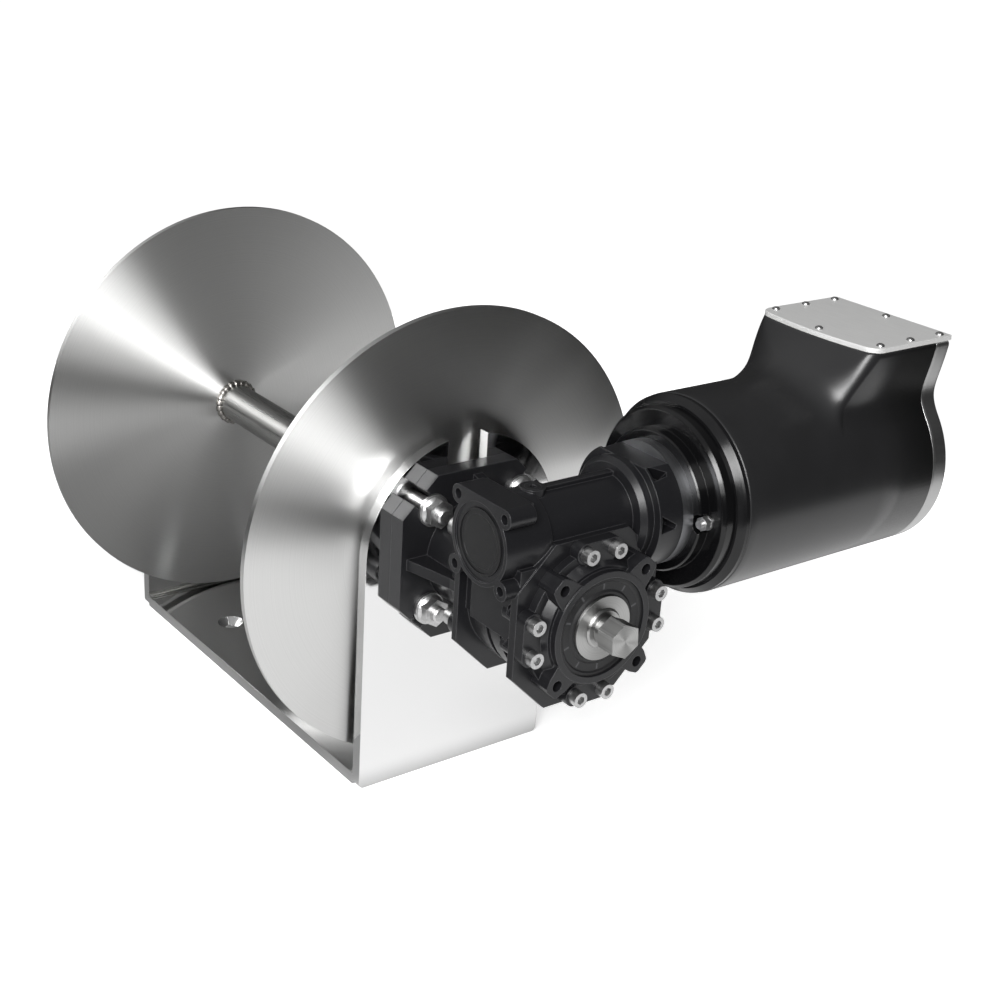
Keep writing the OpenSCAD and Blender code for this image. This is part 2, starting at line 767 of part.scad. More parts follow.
// Skin over rings of points, closed at both ends
module skin(rings) {
    n = len(rings[0]);
    m = len(rings);
    polyhedron(
        points = [for (ring = rings) each ring],
        faces = concat(
            [[for (i = [0:n - 1]) i]],
            [for (j = [0:m - 2]) for (i = [0:n - 1]) [j * n + i, (j + 1) * n + i, (j + 1) * n + (i + 1) % n]],
            [for (j = [0:m - 2]) for (i = [0:n - 1]) [j * n + i, (j + 1) * n + (i + 1) % n, j * n + (i + 1) % n]],
            [[for (i = [n - 1:-1:0]) (m - 1) * n + i]]
        )
    );
}

rim_bore_d = 56;

module worm_wheel() {
    color("darkgoldenrod") at_wheel() {
        difference() {
            bar_y(2 * wheel_root_r, -wheel_face / 2, wheel_face / 2);
            bar_y(rim_bore_d, -wheel_face, wheel_face);
        }
        for (i = [0:wheel_teeth - 1]) rotate([0, (i + 0.5) * tooth_step, 0])
            skin([for (k = [-2:2]) tooth_section(k * (wheel_face - 1) / 4)]);
    }
}

key_h = 7;

module wheel_hub() {
    shoulder_d = hub_d + 6;
    color("slategray") at_wheel() difference() {
        union() {
            bar_y(hub_d, -hub_face, hub_face);
            bar_y(shoulder_d, -wheel_shoulder, wheel_shoulder);
            bar_y(rim_bore_d - 2 * fit, -wheel_face / 2, wheel_face / 2);
        }
        bar_y(bore_d, -hub_face - over, hub_face + over);
        at_key() translate([-key_w / 2 - fit, -hub_face - over, 0])
            cube([key_w + 2 * fit, 2 * hub_face + 2 * over, shaft_d / 2 + 3.3]);
    }
}

// The key lies at the lower right, behind the hexagon
module at_key() {
    rotate([0, 135, 0]) children();
}

module key_bar() {
    at_key() translate([-key_w / 2, -key_l / 2, shaft_d / 2 - 4]) cube([key_w, key_l, key_h]);
}

module shaft_key() {
    color("silver") at_wheel() key_bar();
}

// Points of the worm thread's cross-section at one angle of its helix
thread_low = worm_root_r - 0.8;
function thread_half(r) = (axial_pitch - mesh_play) / 4 - (r - worm_pitch_r) * tan(tooth_press);
function thread_ring(a) =
    let (x = a / 360 * axial_pitch)
    [for (p = [[1, thread_low], [1, worm_tip_r], [-1, worm_tip_r], [-1, thread_low]])
        [x + p[0] * thread_half(p[1]), p[1] * cos(a - 90), p[1] * sin(a - 90)]];

module worm_shaft() {
    thread_turns = 2.25;
    x0 = -worm_left + left_seat - left_bearing[2];
    bore_x = input_seat_x - 6;
    color("silver") at_worm() difference() {
        union() {
            turn_x([[0, x0], [left_bearing[1] / 2, x0], [left_bearing[1] / 2, x0 + left_bearing[2]],
                [worm_root_r, x0 + left_bearing[2] + 4], [worm_root_r, 22], [12, 27], [12, bore_x],
                [input_bearing[1] / 2 + 2.5, bore_x + 2], [input_bearing[1] / 2 + 2.5, input_seat_x],
                [input_bearing[1] / 2, input_seat_x], [input_bearing[1] / 2, input_x - 1], [0, input_x - 1]]);
            skin([for (a = [-360 * thread_turns:15:360 * thread_turns]) thread_ring(a)]);
        }
        bar_x(motor_shaft_d + 2 * fit, bore_x, input_x + over);
        translate([bore_x, -2.5 - fit, 0]) cube([input_x, 5 + 2 * fit, motor_shaft_d / 2 + 2.3]);
    }
}

// Motor

module at_adapter_screws() {
    for (a = [60, 120, 240, 300]) rotate([a, 0, 0]) translate([0, 0, 32]) children();
}

module input_adapter() {
    color("lightgray") at_worm() difference() {
        bar_x(adapter_d, input_x, adapter_x1);
        bar_x(input_bearing[1] + 6, input_x - over, adapter_x1 + over);
        at_adapter_screws() {
            bar_x(5 + 2 * fit, input_x - over, adapter_x1 + over);
            bar_x(9, adapter_x1 - 5, adapter_x1 + over);
        }
    }
}

module adapter_screws() {
    color("silver") at_worm() at_adapter_screws() translate([adapter_x1 - 5, 0, 0])
        mirror([1, 0, 0]) cap_screw_x(5, 14);
}

stud_angles = [0, 180];
stud_d = 5;

module motor_front_plate() {
    color("#181818") at_worm() difference() {
        turn_x([[0, adapter_x1], [boss_d / 2 - 1, adapter_x1], [boss_d / 2, adapter_x1 + 1],
            [boss_d / 2, motor_x], [motor_d / 2 - 2, motor_x], [motor_d / 2, motor_x + 2],
            [motor_d / 2, can_x0], [can_d / 2 - can_wall - fit, can_x0], [can_d / 2 - can_wall - fit, can_x0 + 4],
            [0, can_x0 + 4]]);
        bar_x(motor_bearing[0] - 8, adapter_x1 - over, can_x0 + 5);
        bar_x(motor_bearing[0], motor_x, can_x0 + 5);
        bar_x(armature_r * 1.7, can_x0, can_x0 + 5);
        for (a = stud_angles) rotate([a, 0, 0]) translate([0, stud_r, 0])
            bar_x(stud_d + 2 * fit, motor_x - over, can_x0 + 5);
        // Flat seats for the nuts in the edge of the boss
        for (a = stud_angles) rotate([a, 0, 0]) translate([0, stud_r, 0]) bar_x(12, adapter_x1 - over, motor_x);
    }
}

module motor_stud_nuts() {
    color("silver") at_worm() for (a = stud_angles) rotate([a, 0, 0]) translate([0, stud_r, 0]) {
        difference() {
            union() {
                hex_x(8, motor_x - 5.2, motor_x - 1.2);
                bar_x(9, motor_x - 1.2, motor_x);
            }
            bar_x(stud_d + 2 * fit, motor_x - 6, motor_x + over);
        }
    }
}

module motor_can() {
    color("#202020") at_worm() tube_x(can_d, can_d - 2 * can_wall, can_x0, can_x1);
}

module field_magnets() {
    magnet_r = can_d / 2 - can_wall - fit;
    color("#4a4a4a") at_worm() for (a = [0:90:270]) rotate([a + 45, 0, 0])
        intersection() {
            tube_x(2 * magnet_r, 2 * (magnet_r - magnet_t), can_x0 + 12, can_x1 - 34);
            translate([can_x0, 0, 0]) slab_x(0, can_l)
                polygon([[0, 0], [can_d, -can_d * 0.72], [can_d, can_d * 0.72]]);
        }
}

post_x = cap_x0 + cap_w - 3;
post_at = 30;

module motor_rear_bell() {
    color("#202020") at_worm() difference() {
        union() {
            bar_x(can_d, can_x1, bell_x1);
            bar_x(can_d - 2 * can_wall - 2 * fit, can_x1 - 4, can_x1 + 0.01);
            for (y = [-post_at, post_at]) translate([0, y, -10]) bar_x(12, bell_x1 - 0.01, post_x);
        }
        bar_x(motor_bearing[0], can_x1 - 5, can_x1 + motor_bearing[2] + 1);
        bar_x(can_d - 26, can_x1 - 5, can_x1 + 0.01);
        for (a = stud_angles) rotate([a, 0, 0]) translate([0, stud_r, 0])
            bar_x(stud_d + 2 * fit, can_x1 - 5, bell_x1 + over);
        for (y = [-post_at, post_at]) translate([0, y, -10]) bar_x(5, post_x - 12, post_x + over);
    }
}

module through_bolts() {
    color("silver") at_worm() for (a = stud_angles) rotate([a, 0, 0]) translate([0, stud_r, 0]) {
        bar_x(stud_d, motor_x - 7.5, bell_x1);
        hex_x(8, bell_x1, bell_x1 + 3.5);
    }
}

brush_x = can_x1 - 20;
comm_r = 19;
core_bore_d = 18;

module brush_holder() {
    color("saddlebrown") at_worm() difference() {
        tube_x(can_d - 2 * can_wall - 12, 2 * comm_r + 6, brush_x - 8, brush_x + 8);
        for (a = [0:90:270]) rotate([a + 45, 0, 0])
            translate([brush_x - 5.1, comm_r, -4.1]) cube([10.2, can_d, 8.2]);
        for (a = stud_angles) rotate([a, 0, 0]) translate([0, stud_r, 0])
            bar_x(8, brush_x - 10, brush_x + 10);
    }
    // Feet that stand on the rear bell
    color("saddlebrown") at_worm() for (a = [22:90:292]) rotate([a, 0, 0])
        translate([0, can_d / 2 - 12, 0]) bar_x(7, brush_x + 8, can_x1 - 4);
}

module motor_brushes() {
    color("#2b2b2b") at_worm() for (a = [0:90:270]) rotate([a + 45, 0, 0])
        translate([brush_x - 5, comm_r + run, -4]) cube([10, 18, 8]);
}

module armature_core() {
    slots = 15;
    core_x0 = can_x0 + 14;
    core_x1 = can_x1 - 38;
    color("slategray") at_worm() {
        difference() {
            bar_x(2 * armature_r, core_x0, core_x1);
            bar_x(core_bore_d, core_x0 - over, core_x1 + over);
            for (i = [0:slots - 1]) rotate([i * 360 / slots, 0, 0])
                translate([core_x0 - over, armature_r - 2, -1]) cube([core_x1 - core_x0 + 2 * over, 4, 2]);
        }
    }
    // End turns of the windings
    color("#b5651d") at_worm() for (x = [core_x0 - 8, core_x1]) difference() {
        turn_x([[14, x], [armature_r - 7, x], [armature_r - 4, x + 3], [armature_r - 4, x + 5], [armature_r - 7, x + 8], [14, x + 8]]);
        bar_x(core_bore_d, x - over, x + 9);
    }
}

module commutator() {
    bars = 15;
    color("peru") at_worm() difference() {
        bar_x(2 * comm_r, brush_x - 9, brush_x + 9);
        bar_x(core_bore_d, brush_x - 10, brush_x + 10);
        for (i = [0:bars - 1]) rotate([i * 360 / bars, 0, 0])
            translate([brush_x - 10, comm_r - 1, -0.4]) cube([20, 2, 0.8]);
    }
}

module motor_shaft() {
    step_x = motor_x - 2;
    color("silver") at_worm() difference() {
        turn_x([[0, input_seat_x - 5], [motor_shaft_d / 2 - 1, input_seat_x - 5],
            [motor_shaft_d / 2, input_seat_x - 4], [motor_shaft_d / 2, step_x], [motor_bearing[1] / 2, step_x],
            [motor_bearing[1] / 2, motor_x + motor_bearing[2] + 0.5],
            [core_bore_d / 2 - fit, motor_x + motor_bearing[2] + 0.5], [core_bore_d / 2 - fit, can_x1 + 1],
            [motor_bearing[1] / 2, can_x1 + 1],
            [motor_bearing[1] / 2, can_x1 + motor_bearing[2]], [0, can_x1 + motor_bearing[2]]]);
        translate([input_seat_x, -2.5, motor_shaft_d / 2 - 3]) cube([18, 5, 5]);
    }
}

module motor_key() {
    color("silver") at_worm() translate([input_seat_x, -2.5, motor_shaft_d / 2 - 3]) cube([18, 5, 5]);
}

// Motor cover: a round body that blends into an upright hood

arc_steps = 16;
arc_top = 36;
side_steps = 8;
corner_steps = 4;
top_steps = 5;
blend_steps = 10;
steepest = 78;
corner_r = 1.5;
soft_corner_r = 30;
ridge_foot = 0.72;

function bezier(p, t) =
    pow(1 - t, 3) * p[0] + 3 * pow(1 - t, 2) * t * p[1] + 3 * (1 - t) * t * t * p[2] + pow(t, 3) * p[3];

function arc_points(r, a0, a1, n) = [for (i = [0:n]) let (a = a0 + i * (a1 - a0) / n) [r * cos(a), r * sin(a)]];

// Flank of the hood, from the round body up to the corner of the top
function flank(r, w, h) =
    let (p0 = [r * cos(arc_top), r * sin(arc_top)], p3 = [w, h])
    [p0, p0 + 0.34 * r * [-sin(arc_top), cos(arc_top)], p3 - 0.42 * h * [0.12, 0.9], p3];

// Right half of a section of the hood, from the bottom to the middle of the top. The crown is the
// height in the middle, and the ridge is the height of the rounded corner between flank and top.
function hood_half_points(r, w, h, crown, ridge, corner) =
    let (side = flank(r, w, h),
        table = [for (i = [0:24]) [bezier(side, i / 24).y, i / 24]],
        c = [bezier(side, lookup(ridge, table)).x, ridge],
        t1 = lookup(ridge - corner, table),
        edge = bezier(side, t1),
        y1 = c.x - corner)
    concat(arc_points(r, -90, arc_top, arc_steps),
        [for (i = [1:side_steps]) bezier(side, t1 * i / side_steps)],
        [for (i = [1:corner_steps]) let (t = i / corner_steps)
            (1 - t) * (1 - t) * edge + 2 * t * (1 - t) * c + t * t * [y1, crown_at(y1, c.x, crown, ridge)]],
        [for (i = [1:top_steps]) let (y = y1 * (1 - i / top_steps)) [y, crown_at(y, c.x, crown, ridge)]]);

// Height of the domed top at a distance from the middle
function crown_at(y, width, crown, ridge) = crown - (crown - ridge) * pow(y / width, 2);

function both_sides(half) =
    let (n = len(half)) concat(half, [for (i = [n - 2:-1:1]) [-half[i].x, half[i].y]]);

// Section where the front of the hood has turned up by an angle, from 0 to its steepest. It
// grows out of the round body, straight away from the middle of the motor.
function cover_section(inset, a) =
    let (r = cover_r - inset, w = hood_half - inset, h = hood_h - top_t - inset,
        s = sin(a) / sin(steepest), blend = s * s * (3 - 2 * s),
        crown = r + (h - r) * (1 - cos(a)) / (1 - cos(steepest)),
        ridge = r * ridge_foot + (h - r * ridge_foot) * pow(s, 4),
        corner = min(corner_r + soft_corner_r * (1 - s), 0.8 * (ridge - r * sin(arc_top))))
    both_sides([for (p = hood_half_points(r, w, h, crown, ridge, corner))
        p * (blend + (1 - blend) * r / norm(p))]);

// Where the front of the hood stands, level with a point across its width
function hood_front(y, inset) = hood_x - hood_bow * (1 - pow(y / hood_half, 2)) + inset;

module cover_form(inset, x0, x1) {
    skin(concat(
        [[for (p = cover_section(inset, 0)) [x0, p.x, p.y]]],
        [for (k = [0:blend_steps])
            let (a = steepest * k / blend_steps, s = sin(a) / sin(steepest))
            [for (p = cover_section(inset, a))
                [rise_x + (hood_front(p.x, inset) - rise_x) * s, p.x, p.y]]],
        [[for (p = cover_section(inset, steepest)) [x1, p.x, p.y]]]
    ));
}

module motor_cover() {
    color("#1c1c1c") at_worm() difference() {
        cover_form(0, mouth_x, cap_x0);
        cover_form(cover_wall, mouth_x - over, cap_x0 + over);
        // Access opening under the top plate
        translate([hood_x + 8, 8 - hood_half, hood_h - top_t - cover_wall - over])
            cube([cap_x0 - hood_x - 16, 2 * hood_half - 16, cover_wall + 2 * over]);
        at_gland_holes() cylinder(d = gland_d, h = 3 * cover_wall, center = true);
    }
}

module cover_mouth_seal() {
    // The moulded inside has slight flats, so the ring is a little smaller
    seat_r = cover_r - cover_wall - 0.25;
    color("#242424") at_worm() turn_x([[motor_d / 2 + fit, can_x0 - 3], [seat_r - 1, can_x0 - 3],
        [cover_r - 1.5, mouth_x - 3.5], [cover_r - 0.5, mouth_x - 2.5], [cover_r - 0.5, mouth_x], [seat_r, mouth_x],
        [seat_r, mouth_x + 6], [can_d / 2 + fit, mouth_x + 6], [can_d / 2 + fit, can_x0], [motor_d / 2 + fit, can_x0]]);
}

module cap_outline(inset) {
    polygon(cover_section(inset, steepest));
}

module cover_end_cap() {
    color("gainsboro") at_worm() difference() {
        slab_x(cap_x0, cover_end_x) cap_outline(0);
        slab_x(cap_x0 - over, cover_end_x - 3) cap_outline(2.5);
        for (y = [-post_at, post_at]) translate([0, y, -10]) bar_x(5 + 2 * fit, cover_end_x - 4, cover_end_x + over);
    }
}

module end_cap_screws() {
    color("silver") at_worm() for (y = [-post_at, post_at]) translate([cover_end_x, y, -10])
        mirror([1, 0, 0]) pan_screw_x(5, 12);
}

// Domed screw along X: its head lies below x = 0
module pan_screw_x(d, grip) {
    turn_x([[0, -d * 0.5], [d * 0.45, -d * 0.5], [d * 0.8, -d * 0.3], [d * 0.9, 0], [d / 2, 0], [d / 2, grip], [0, grip]]);
}

plate_x0 = hood_x;
plate_x1 = cover_end_x;
plate_corner = 6;

module top_plate_outline() {
    bow_r = (pow(hood_half, 2) + pow(hood_bow, 2)) / (2 * hood_bow);
    flat_x = plate_x0 + plate_corner;
    translate([flat_x, -hood_half]) square([plate_x1 - flat_x, 2 * hood_half]);
    translate([plate_x0, plate_corner - hood_half]) square([plate_corner, 2 * (hood_half - plate_corner)]);
    for (side = [-1, 1]) translate([flat_x, side * (hood_half - plate_corner)]) circle(r = plate_corner);
    intersection() {
        translate([plate_x0 - hood_bow + bow_r, 0]) circle(r = bow_r);
        translate([plate_x0 - hood_bow, 2 - hood_half]) square([hood_bow + 1, 2 * hood_half - 4]);
    }
}

plate_screw_places = concat(
    [for (y = [-1, 1], x = [0:2]) [plate_x0 + 9 + x * (plate_x1 - plate_x0 - 16) / 2, y * (hood_half - 5)]],
    [[plate_x0 - hood_bow + 7, 0], [plate_x1 - 6.5, 0]]
);

module cover_top_plate() {
    color("gainsboro") at_worm() translate([0, 0, hood_h - top_t]) difference() {
        linear_extrude(top_t) top_plate_outline();
        for (p = plate_screw_places) translate([p.x, p.y, -over]) cylinder(d = 3 + 2 * fit, h = top_t + 2 * over);
    }
}

module top_plate_screws() {
    color("silver") at_worm() for (p = plate_screw_places) translate([p.x, p.y, hood_h]) rotate([0, 90, 0])
        pan_screw_x(3, top_t);
}

contactor_l = 42;
contactor_w = 56;
contactor_h = 22;
contactor_x = hood_x + 31;
contactor_z = can_d / 2 + 0.5;
strap_w = 14;
strap_t = 2;
terminal_d = 6;
terminal_side = 18;

module contactor_form(more) {
    translate([contactor_x - contactor_l / 2, -contactor_w / 2, contactor_z - more])
        cube([contactor_l, contactor_w, contactor_h + 2 * more]);
}

module at_contactor_studs() {
    for (y = [-terminal_side, terminal_side]) translate([contactor_x, y, contactor_z + 14]) children();
}

module contactor() {
    color("#262626") at_worm() difference() {
        contactor_form(0);
        bar_x(can_d + 2 * fit, can_x0, cap_x0);
        at_contactor_studs() cylinder(d = terminal_d + 2 * fit, h = contactor_h);
    }
    // Strap that holds it on the motor
    color("#262626") at_worm() difference() {
        tube_x(can_d + 2 * strap_t, can_d + 2 * fit, contactor_x - strap_w / 2, contactor_x + strap_w / 2);
        translate([contactor_x - strap_w, -can_d, -can_d]) cube([2 * strap_w, 2 * can_d, can_d * 1.12]);
        contactor_form(strap_t);
    }
}

module contactor_studs() {
    color("goldenrod") at_worm() at_contactor_studs() {
        cylinder(d = terminal_d, h = 17);
        translate([0, 0, 8]) cylinder(d = 11.5, h = 5, $fn = 6);
    }
}

gland_d = 16;
gland_z = [-22, 12];

// Cable entries through the far flank of the cover, square to its wall
module at_gland_holes() {
    for (z = gland_z) rotate([asin(z / cover_r), 0, 0]) translate([rise_x - 18, cover_r - cover_wall / 2, 0])
        rotate([-90, 0, 0]) children();
}

module cable_glands() {
    color("#222222") at_worm() at_gland_holes() difference() {
        union() {
            translate([0, 0, -cover_wall / 2 - 1]) cylinder(d = gland_d - 2 * fit, h = cover_wall + 4);
            translate([0, 0, cover_wall / 2 + 1.2]) cylinder(d = gland_d * 1.5, h = 6, $fn = 6);
            translate([0, 0, cover_wall / 2 + 7.2]) cylinder(d1 = gland_d * 1.25, d2 = gland_d * 0.95, h = 11);
        }
        translate([0, 0, -4]) cylinder(d = gland_d * 0.55, h = 30);
    }
}

// Idle bearing on the far upright

idle_y1 = base_l / 2 + idle_l;
idle_head_d = idle_bolt_d * 1.9;
idle_head_h = (idle_head_d - idle_bolt_d) / 2;
idle_flange_t = 8;
collar_w = 10;

module idle_bearing_housing() {
    color("dimgray") at_spool() difference() {
        union() {
            bar_y(idle_d, base_l / 2, base_l / 2 + idle_flange_t);
            bar_y(idle_bore_d + 14, base_l / 2, idle_y1);
        }
        bar_y(idle_bore_d, base_l / 2 - over, idle_y1 + over);
        at_corners(idle_bolt_at) bar_y(idle_bolt_d + 2 * fit, base_l / 2 - over, idle_y1);
    }
}

module idle_bush() {
    color("ivory") at_spool() difference() {
        union() {
            bar_y(idle_bore_d - 2 * fit, plate_y + 0.5, idle_y1);
            bar_y(idle_bore_d + 6, idle_y1, idle_y1 + 2);
        }
        bar_y(bore_d, plate_y - over, idle_y1 + 3);
    }
}

module idle_housing_fasteners() {
    y1 = base_l / 2 + idle_flange_t;
    color("silver") at_spool() at_corners(idle_bolt_at) {
        turn_y([[0, plate_y], [idle_head_d / 2, plate_y], [idle_bolt_d / 2, plate_y + idle_head_h],
            [idle_bolt_d / 2, y1 + 10], [0, y1 + 10]]);
        difference() {
            hex_y(idle_bolt_d * 1.6, y1, y1 + 6.5);
            bar_y(idle_bolt_d + 2 * fit, y1 - over, y1 + 8);
        }
    }
}

// Spool

module spool_disc(y0) {
    color("lightgray") at_spool() tube_y(disc_d, core_d + 2 * fit, y0, y0 + disc_t);
}

module gear_side_disc() {
    spool_disc(-disc_y);
}

module idle_side_disc() {
    spool_disc(disc_y - disc_t);
}

pin_y = disc_t + pin_inset - disc_y;

module spool_core() {
    color("silver") at_spool() difference() {
        bar_y(core_d, -disc_y, disc_y);
        bar_y(bore_d, -disc_y - over, disc_y + over);
        translate([0, pin_y, -core_d]) cylinder(d = pin_d, h = 2 * core_d);
    }
}

module spool_welds() {
    r0 = core_d / 2 + fit;
    color("darkgray") at_spool() for (side = [-1, 1]) scale([1, side, 1]) turn_y([[r0, disc_y - disc_t],
        [r0, disc_y - disc_t - bead_d * 0.6], [r0 + bead_d * 0.3, disc_y - disc_t - bead_d * 0.52],
        [r0 + bead_d * 0.55, disc_y - disc_t - bead_d * 0.28], [r0 + bead_d * 0.65, disc_y - disc_t]]);
}

shaft_y0 = wheel_y - hub_face - 1.5;
shaft_y1 = idle_y1 + 2 + collar_w + 2;
neck_groove = 1.6;

module drive_shaft() {
    hex_y0 = shaft_y0 - neck_l - hex_l;
    color("silver") at_spool() difference() {
        union() {
            turn_y([[0, shaft_y0], [shaft_d / 2 - 1, shaft_y0], [shaft_d / 2, shaft_y0 + 1],
                [shaft_d / 2, shaft_y1 - 1], [shaft_d / 2 - 1, shaft_y1], [0, shaft_y1]]);
            // Neck with a groove at the shaft
            bar_y(neck_d - 2, shaft_y0 - neck_l, shaft_y0 + over);
            bar_y(neck_d, shaft_y0 - neck_l - over, shaft_y0 - neck_groove);
            rotate([0, -5, 0]) hex_y(hex_af, hex_y0, shaft_y0 - neck_l);
        }
        translate([0, wheel_y, 0]) key_bar();
        translate([0, pin_y, -core_d]) cylinder(d = pin_d, h = 2 * core_d);
    }
}

module drive_pin() {
    color("silver") at_spool() translate([0, pin_y, -core_d / 2 - 1]) cylinder(d = pin_d - 2 * fit, h = core_d + 2);
}

module shaft_collar() {
    y0 = idle_y1 + 2 + run;
    color("silver") at_spool() difference() {
        tube_y(shaft_d + 16, bore_d, y0, y0 + collar_w - 1);
        translate([0, y0 + collar_w / 2, 0]) cylinder(d = 6, h = shaft_d);
    }
    color("#303030") at_spool() translate([0, y0 + collar_w / 2, shaft_d / 2 + fit]) difference() {
        cylinder(d = 6 - 2 * fit, h = 6.5);
        translate([0, 0, 3]) cylinder(d = 3.5, h = 5, $fn = 6);
    }
}

base_plate();
gear_side_plate();
idle_side_plate();
corner_welds();
mounting_flange();
flange_bolts();
flange_washers();
flange_nuts();
flange_screws();
gearbox_housing();
output_cover();
cover_screws();
output_seals();
wheel_bearing_outers();
wheel_bearing_cages();
worm_end_plug();
oil_plug();
rotor_bearing_outers();
rotor_bearing_cages();
input_seal();
input_adapter();
adapter_screws();
motor_front_plate();
motor_stud_nuts();
motor_can();
field_magnets();
motor_rear_bell();
through_bolts();
brush_holder();
motor_brushes();
motor_cover();
cover_mouth_seal();
cover_end_cap();
end_cap_screws();
cover_top_plate();
top_plate_screws();
contactor();
contactor_studs();
cable_glands();
idle_bearing_housing();
idle_bush();
idle_housing_fasteners();
gear_side_disc();
idle_side_disc();
spool_core();
spool_welds();
drive_shaft();
shaft_key();
drive_pin();
worm_wheel();
wheel_hub();
wheel_bearing_inners();
shaft_collar();
worm_shaft();
rotor_bearing_inners();
motor_shaft();
motor_key();
armature_core();
commutator();
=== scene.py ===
import math
import bmesh
import bpy
from mathutils import Matrix, Vector


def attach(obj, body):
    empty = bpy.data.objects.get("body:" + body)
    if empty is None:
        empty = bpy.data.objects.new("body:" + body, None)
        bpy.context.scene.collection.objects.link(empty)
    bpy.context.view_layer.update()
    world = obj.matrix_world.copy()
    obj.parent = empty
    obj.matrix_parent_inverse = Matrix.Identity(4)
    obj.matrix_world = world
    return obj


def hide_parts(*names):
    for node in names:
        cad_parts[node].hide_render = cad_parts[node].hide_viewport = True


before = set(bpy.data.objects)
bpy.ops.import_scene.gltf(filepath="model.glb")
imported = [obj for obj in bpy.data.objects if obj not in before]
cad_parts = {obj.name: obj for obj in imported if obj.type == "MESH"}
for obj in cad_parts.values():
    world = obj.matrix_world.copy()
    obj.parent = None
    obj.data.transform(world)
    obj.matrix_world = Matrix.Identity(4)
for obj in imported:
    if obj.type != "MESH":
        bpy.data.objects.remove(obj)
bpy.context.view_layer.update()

# Base plate and the two uprights: 8 mm stainless plate, cut, welded at the corners and polished
# to a mirror by hand. Fine swirl scratches and a slight ripple of the plate stay in the mirror.


def linear(hex_colour):
    """Turn an sRGB hex colour into the linear values that a shader takes."""
    channels = [int(hex_colour[i:i + 2], 16) / 255 for i in (1, 3, 5)]
    return [c / 12.92 if c <= 0.04045 else ((c + 0.055) / 1.055) ** 2.4 for c in channels] + [1]


def feed(tree, node, inputs):
    """Give a node its inputs; each is a value or the socket that feeds it."""
    for name, value in inputs.items():
        if isinstance(value, bpy.types.NodeSocket):
            tree.links.new(value, node.inputs[name])
        else:
            node.inputs[name].default_value = value


def add(tree, kind, settings, inputs):
    """Add one node with its settings and inputs."""
    node = tree.nodes.new("ShaderNode" + kind)
    for name, value in settings.items():
        setattr(node, name, value)
    feed(tree, node, inputs)
    return node


def finish(name, **constants):
    """Start a finish: a material whose shader takes these values, with spaces for underscores."""
    material = bpy.data.materials.new(name)
    material.use_nodes = True
    tree = material.node_tree
    shader = tree.nodes["Principled BSDF"]
    feed(tree, shader, {key.replace("_", " "): value for key, value in constants.items()})
    return material, tree, shader


def millimetres(tree, stretch=(1, 1, 1)):
    """Coordinates on the object in millimetres, divided along each axis by a stretch."""
    place = add(tree, "TexCoord", {}, {})
    return add(tree, "Mapping", {}, {
        "Vector": place.outputs["Object"], "Scale": [1000 / s for s in stretch]}).outputs["Vector"]


def vary(tree, shader, pattern, colours=None, roughness=None, span=(0, 1)):
    """Let a pattern carry a finish from its first colour and roughness to its second.

    The roughness changes over the span of the pattern's values.
    """
    if colours:
        first, second = (linear(colour) for colour in colours)
        shade = add(tree, "MixRGB", {}, {"Fac": pattern, "Color1": first, "Color2": second})
        feed(tree, shader, {"Base Color": shade.outputs["Color"]})
    if roughness:
        rough = add(tree, "MapRange", {}, {
            "Value": pattern, "From Min": span[0], "From Max": span[1],
            "To Min": roughness[0], "To Max": roughness[1]})
        feed(tree, shader, {"Roughness": rough.outputs["Result"]})


def wear(material, *nodes):
    """Give CAD nodes a finish."""
    for name in nodes:
        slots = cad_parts[name].data.materials
        slots.clear()
        slots.append(material)


mirror_stainless, tree, shader = finish(
    "mirror_polished_stainless", Metallic=1.0, Base_Color=linear("#E0E0E0"))
ripple_mm, scratch_mm, scratch_stretch = 45, 0.7, (14, 14, 1)
# Roller ripple of the plate bends what it mirrors
ripple = add(tree, "TexNoise", {}, {
    "Vector": millimetres(tree), "Scale": 1 / ripple_mm, "Detail": 1.0})
bend = add(tree, "Bump", {}, {
    "Height": ripple.outputs["Fac"], "Strength": 0.25, "Distance": 0.0006})
edge = add(tree, "Bevel", {"samples": 4}, {"Radius": 0.0006, "Normal": bend.outputs["Normal"]})
# Polishing scratches are finer than a pixel, so they are drawn 0.7 mm apart
scratches = add(tree, "TexNoise", {}, {
    "Vector": millimetres(tree, scratch_stretch), "Scale": 1 / scratch_mm, "Detail": 3.0})
vary(tree, shader, scratches.outputs["Fac"], roughness=(0.05, 0.13), span=(0.35, 0.75))
feed(tree, shader, {"Normal": edge.outputs["Normal"]})
wear(mirror_stainless, "base_plate", "gear_side_plate", "idle_side_plate")

# Corner welds: stainless beads laid by hand, then ground and polished over. They stay duller and
# lumpier than the plate.
weld_stainless, tree, shader = finish(
    "polished_weld", Metallic=1.0, Base_Color=linear("#C9C9C6"))
lump_mm = 3
lumps = add(tree, "TexNoise", {}, {
    "Vector": millimetres(tree), "Scale": 1 / lump_mm, "Detail": 2.0})
bumps = add(tree, "Bump", {}, {
    "Height": lumps.outputs["Fac"], "Strength": 0.5, "Distance": 0.0005})
vary(tree, shader, lumps.outputs["Fac"], roughness=(0.14, 0.32))
feed(tree, shader, {"Normal": bumps.outputs["Normal"]})
wear(weld_stainless, "corner_welds")

# Spool discs: 4 mm stainless sheet, cut round and faced on a lathe. The turned grain runs in
# rings, so each light is drawn out into a pair of rays that stand still as the disc turns.
axis_z = 0.160
spool_axis, square_to_spool = (0, 0, axis_z), (1, 0, 1)


